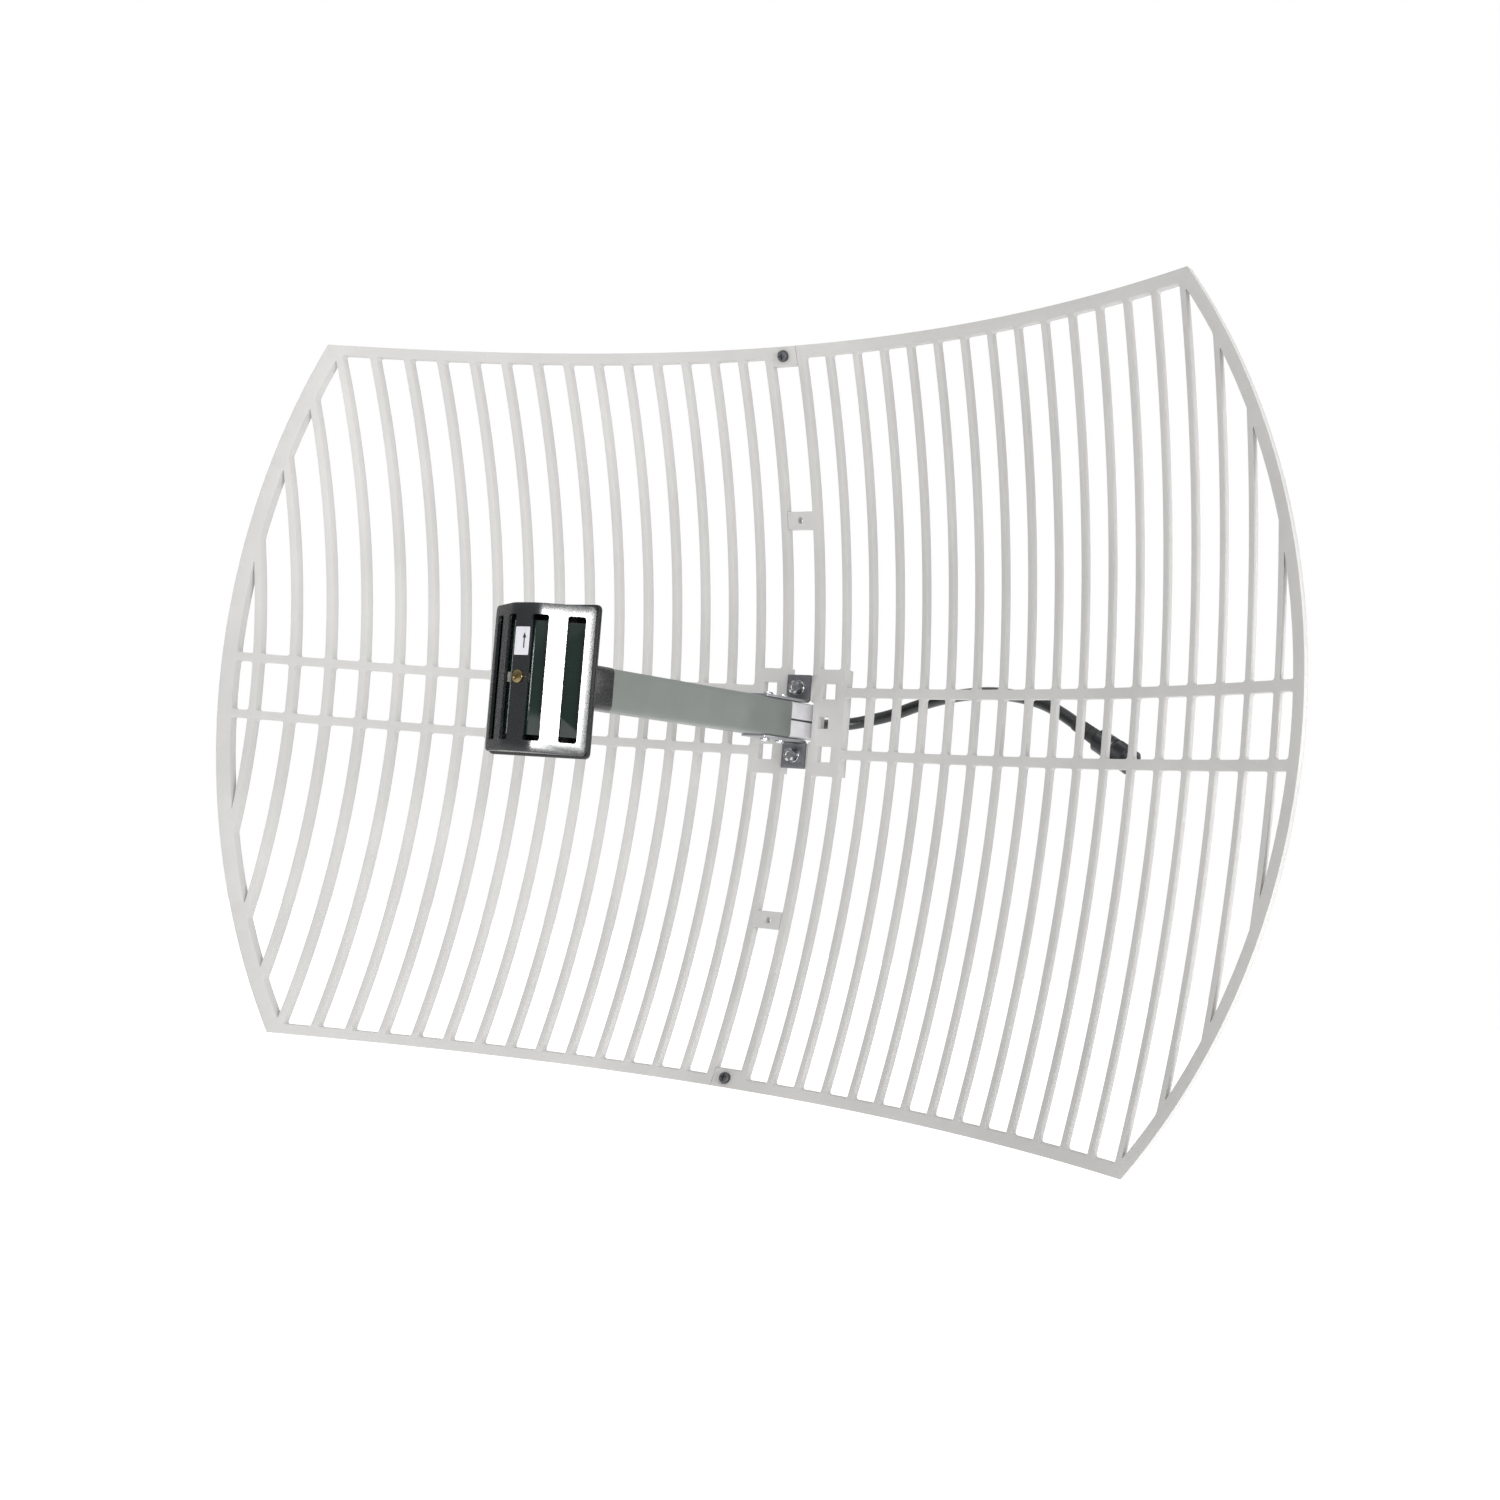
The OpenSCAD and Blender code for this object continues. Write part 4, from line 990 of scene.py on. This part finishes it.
def plan_y(x, inset):
    """Where the bent face stands at a distance from the middle, a depth below its surface."""
    r = WING_R - inset
    centre = WING_R - FRONT_AT
    bend_end = WING_FLAT + r * math.sin(WING_ANGLE)
    x = abs(x)
    if x <= WING_FLAT:
        return VERTEX_Y + centre - r
    if x <= bend_end:
        return VERTEX_Y + centre - math.sqrt(r * r - (x - WING_FLAT) ** 2)
    return VERTEX_Y + centre - r * math.cos(WING_ANGLE) + (x - bend_end) * math.tan(WING_ANGLE)


def bent_face(outline, holes, inset):
    """A flat pattern, seen from the front, bent to the face's plan."""
    bend = WING_R * math.sin(WING_ANGLE)
    cuts = [side * (WING_FLAT + bend * i / 10) for side in (-1, 1) for i in range(11)]
    bm = flat_sheet(outline, holes, cuts)
    for vert in bm.verts:
        vert.co = (vert.co.x, plan_y(vert.co.x, inset), vert.co.y)
    return bm


def feed_shell(half_w, half_h, corner_r, holes, inset, edge_r):
    """A bent face with walls back to the gasket. It has no thickness yet."""
    bm = bent_face(rounded(rectangle(-half_w, half_w, -half_h, half_h), corner_r), holes, inset)
    side_x, end_z = half_w - corner_r - 0.1, half_h - 0.1
    rim = [e for e in bm.edges if e.is_boundary
           and all(abs(v.co.x) > side_x or abs(v.co.z) > end_z for v in e.verts)]
    walls = bmesh.ops.extrude_edge_only(bm, edges=rim)
    for element in walls["geom"]:
        if isinstance(element, bmesh.types.BMVert):
            element.co.y = VERTEX_Y - SHELL_BACK
    bmesh.ops.recalc_face_normals(bm, faces=bm.faces[:])
    foremost = min(bm.faces, key=lambda face: face.calc_center_median().y)
    if foremost.normal.y > 0:
        bmesh.ops.reverse_faces(bm, faces=bm.faces[:])
    side_x, end_z = half_w - 0.1, half_h - corner_r - 0.1
    edges = [e for e in bm.edges if e.calc_face_angle(0) > math.radians(40)
             and max(v.co.y for v in e.verts) < VERTEX_Y - SHELL_BACK - 0.5
             and all(abs(v.co.x) > side_x or abs(v.co.z) > end_z for v in e.verts)]
    bmesh.ops.bevel(bm, geom=edges, offset=edge_r, segments=3, profile=0.5, material=-1,
                    affect="EDGES", clamp_overlap=True)
    return bm


def moulded(piece, wall, edge):
    """Gives a shell its wall, inwards, and rounds its edges."""
    solid = piece.modifiers.new("wall", "SOLIDIFY")
    solid.thickness = wall * MM
    solid.offset = -1
    solid.use_even_offset = True
    rounding = piece.modifiers.new("edges", "BEVEL")
    rounding.width = edge * MM
    rounding.segments = 3
    rounding.limit_method = "ANGLE"
    rounding.angle_limit = math.radians(50)
    rounding.harden_normals = True


slot_holes = [rounded(rectangle(*sorted((side * near, side * far)), -SLOT_Z, SLOT_Z), SLOT_R)
              for side in (-1, 1) for near, far in SLOTS]
front = feed_shell(FEED_W / 2, FEED_H / 2, 4.0, [*slot_holes, circle(0, 0, TERMINAL_HOLE_R)], 0, 3.0)
slotted_front = make_piece(
    "slotted_front", front, spark_abs, ["feed_front"], closed=False)
moulded(slotted_front, FRONT_WALL, 0.8)

# ---------------------------------------------------------------------------------------
# Inside the feed: a thin glossy cover that seals the slots, the dipole's two brass arms on a
# balun tube at the focus, and a tinned strap held under the middle bar by a slotted screw.
# ---------------------------------------------------------------------------------------
COVER_INSET = 3.5
COVER_WALL = 1.5
COVER_HALF_H = 40.0
STRAP_INSET = 2.5
DIPOLE_STRAP = (-23.0, 6.5, 3.5, 0.8)
TERMINAL_R = 4.5
TERMINAL_TURN = 0.35

# Polished polycarbonate: black with a green depth, mirroring the room darkly.
gloss_black = patterned(
    "polished_black_green_polycarbonate", ("#0a1513", "#132822"), (40, 2.0), (0.08, 0.18), (6, 3.0),
    IOR=1.58, Coat_Weight=0.2, Coat_Roughness=0.05)

# Turned brass: a dull warm yellow, darkened in patches by tarnish.
turned_brass = patterned(
    "turned_brass", ("#5f543b", "#a9976c"), (3, 4.0), (0.14, 0.30), Metallic=1.0)

# Tinned copper strip: dull silver-grey, hand-dipped and slightly wavy.
tinned = patterned(
    "tinned_copper_strip", ("#8a8a7c", "#adad9e"), (4, 3.0), (0.28, 0.45),
    relief=((4, 3.0), 0.1, 0.4), Metallic=0.9)

cover = feed_shell(FEED_W / 2 - COVER_INSET, COVER_HALF_H, 3.0,
                   [circle(0, 0, TERMINAL_HOLE_R)], COVER_INSET, 1.4)
slot_cover = make_piece(
    "slot_cover", cover, gloss_black, ["dipole_cover"], closed=False)
moulded(slot_cover, COVER_WALL, 0.3)

x0, x1, half_h, strip_t = DIPOLE_STRAP
strip = thickened(
    flat_sheet(rounded(rectangle(x0, x1, -half_h, half_h), 1.0), [circle(0, 0, TERMINAL_HOLE_R)],
               [1.2 * i for i in range(-19, 6)]), strip_t, 0.15)
for vert in strip.verts:
    x, z, height = vert.co
    vert.co = (x, plan_y(x, STRAP_INSET - height), z)
make_piece("terminal_strap", strip, tinned, ["dipole_strap"])

slot_cut = rectangle(-TERMINAL_R * 0.8, TERMINAL_R * 0.8, -0.6, 0.6)
terminal = headed(TERMINAL_R * 0.88, 2.6, slot_cut, 1.2, [
    (TERMINAL_R, 2.3), (TERMINAL_R, 0.2), (TERMINAL_R - 0.2, 0), (2, 0), (2, -1.5),
    *thread(2, 0.3, -2, -16, 0.7), (1.4, -17)])
in_middle_bar = ahead_of_vertex(0, 0, FRONT_AT) @ Matrix.Rotation(TERMINAL_TURN, 4, "Z")
make_piece("slotted_terminal_screw", placed(terminal, in_middle_bar),
           turned_brass, ["terminal_screw"])
finish_nodes({"dipole_arms": turned_brass, "balun_tube": turned_brass})

# ---------------------------------------------------------------------------------------
# Label: white vinyl on the middle bar, bent with it, with a printed black arrow that shows the
# direction of polarisation.
# ---------------------------------------------------------------------------------------
LABEL = (-6.4, 6.4, 15.1, 34.9)
LABEL_T = 0.2
ARROW_X = 2.0
ARROW_Z = (20.0, 31.0)
ARROW_HEAD = (1.7, 3.8)
ARROW_SHAFT = 0.5

# Vinyl label: white and satin, greyed a little by weather.
vinyl = patterned(
    "white_vinyl_label", ("#c6c4cc", "#d6d5db"), (8, 3.0), (0.35, 0.50), IOR=1.48)

# Printing ink: flat black, a little thin in places.
ink = patterned(
    "black_printing_ink", ("#131314", "#242426"), (0.5, 2.0), (0.50, 0.65), IOR=1.45)


def stuck_on(outline, thickness, base):
    """A thin film that follows the middle bar, its underside at a height above the surface."""
    cuts = [i * 0.8 for i in range(-8, 9)]
    bm = thickened(flat_sheet(outline, [], cuts), thickness, thickness / 4, 1)
    for vert in bm.verts:
        x, z, height = vert.co
        vert.co = (x, plan_y(x, -(base + thickness + height)), z)
    return bm


make_piece("white_label", stuck_on(rounded(rectangle(*LABEL), 0.8), LABEL_T, 0.02),
           vinyl, ["arrow_label"])
low, high = ARROW_Z
head_w, head_h = ARROW_HEAD
barb = high - head_h
arrow = [
    (ARROW_X - ARROW_SHAFT, low), (ARROW_X + ARROW_SHAFT, low), (ARROW_X + ARROW_SHAFT, barb),
    (ARROW_X + head_w, barb), (ARROW_X, high), (ARROW_X - head_w, barb),
    (ARROW_X - ARROW_SHAFT, barb),
]
make_piece("printed_arrow", stuck_on(arrow, 0.03, LABEL_T + 0.03), ink, [])

# ---------------------------------------------------------------------------------------
# Stage: a plain pale floor well below the antenna and a pale room with darker walls. A large
# soft light hangs above, one stands at the right and a weak one behind. A small one by the
# camera, which falls on the shiny pieces alone, gives them their glints.
# ---------------------------------------------------------------------------------------
FLOOR_Z = -1.15
FLOOR_HALF = 15

floor_sheet = bmesh.new()
bmesh.ops.create_grid(floor_sheet, x_segments=1, y_segments=1, size=FLOOR_HALF)
bmesh.ops.translate(floor_sheet, vec=(0, 0, FLOOR_Z), verts=floor_sheet.verts[:])
floor_mesh = bpy.data.meshes.new("floor")
floor_sheet.to_mesh(floor_mesh)
floor_sheet.free()
floor = bpy.data.objects.new("floor", floor_mesh)
bpy.context.scene.collection.objects.link(floor)

# White paint, lit a little from within so that the floor meets the surround without a line.
floor_paint, tree, shader, place = new_finish(
    "white_floor_paint", Roughness=0.9, Emission_Color=linear("#ffffff"), Emission_Strength=0.55)
patch = add(tree, "ShaderNodeTexNoise", {"Vector": place, "Scale": 0.4, "Detail": 2.0})
wire(tree, shader, {
    "Base Color": add(tree, "ShaderNodeMix", {
        "Factor": patch, "A": linear("#f2f2f1"), "B": linear("#f7f7f6")}, data_type="RGBA"),
})
floor_mesh.materials.append(floor_paint)

world = bpy.data.worlds.new("surround")
bpy.context.scene.world = world
world.use_nodes = True
tree = world.node_tree
towards = add(tree, "ShaderNodeTexCoord", {}, "Generated")
height = add(tree, "ShaderNodeSeparateXYZ", {"Vector": towards}, "Z")
walls = add(tree, "ShaderNodeMapRange", {
    "Value": height, "From Min": 0.05, "From Max": 0.7, "To Min": 0.22, "To Max": 0.85})
seen = add(tree, "ShaderNodeLightPath", {}, "Is Camera Ray")
wire(tree, tree.nodes["Background"], {
    "Color": linear("#ffffff"),
    "Strength": add(tree, "ShaderNodeMath", {0: walls, 1: seen}, operation="MAXIMUM"),
})


def lamp(name, kind, at, towards, watts, **settings):
    """A lamp at a point, turned towards another."""
    data = bpy.data.lights.new(name, kind)
    data.energy = watts
    for setting, value in settings.items():
        setattr(data, setting, value)
    light = bpy.data.objects.new(name, data)
    bpy.context.scene.collection.objects.link(light)
    light.location = at
    light.rotation_euler = (Vector(towards) - Vector(at)).to_track_quat("-Z", "Y").to_euler()
    return light


lamp("soft_overhead", "AREA", (0.7, -2.1, 2.6), (0, -0.1, 0), 38, shape="DISK", size=2.4)
lamp("soft_right", "AREA", (2.5, -1.0, 0.2), (0.1, -0.1, 0), 46, shape="DISK", size=1.2)
lamp("rim_behind", "AREA", (1.3, 1.63, 0.2), (0, -0.15, 0), 3, shape="DISK", size=0.4)
glint = lamp("glint", "AREA", (0.62, -1.66, 0.12), (0.005, -0.3, 0), 32, shape="DISK", size=0.32)
shiny = bpy.data.collections.new("lit_by_glint")
for name in ("slotted_front", "slotted_terminal_screw", "hub_hex_bolts", "hub_flat_washers",
             "hub_split_washers", "strap_screws", "boom_extrusion", "lap_tab_screws"):
    shiny.objects.link(bpy.data.objects[name])
glint.light_linking.receiver_collection = shiny
bpy.context.scene.view_settings.view_transform = "Standard"
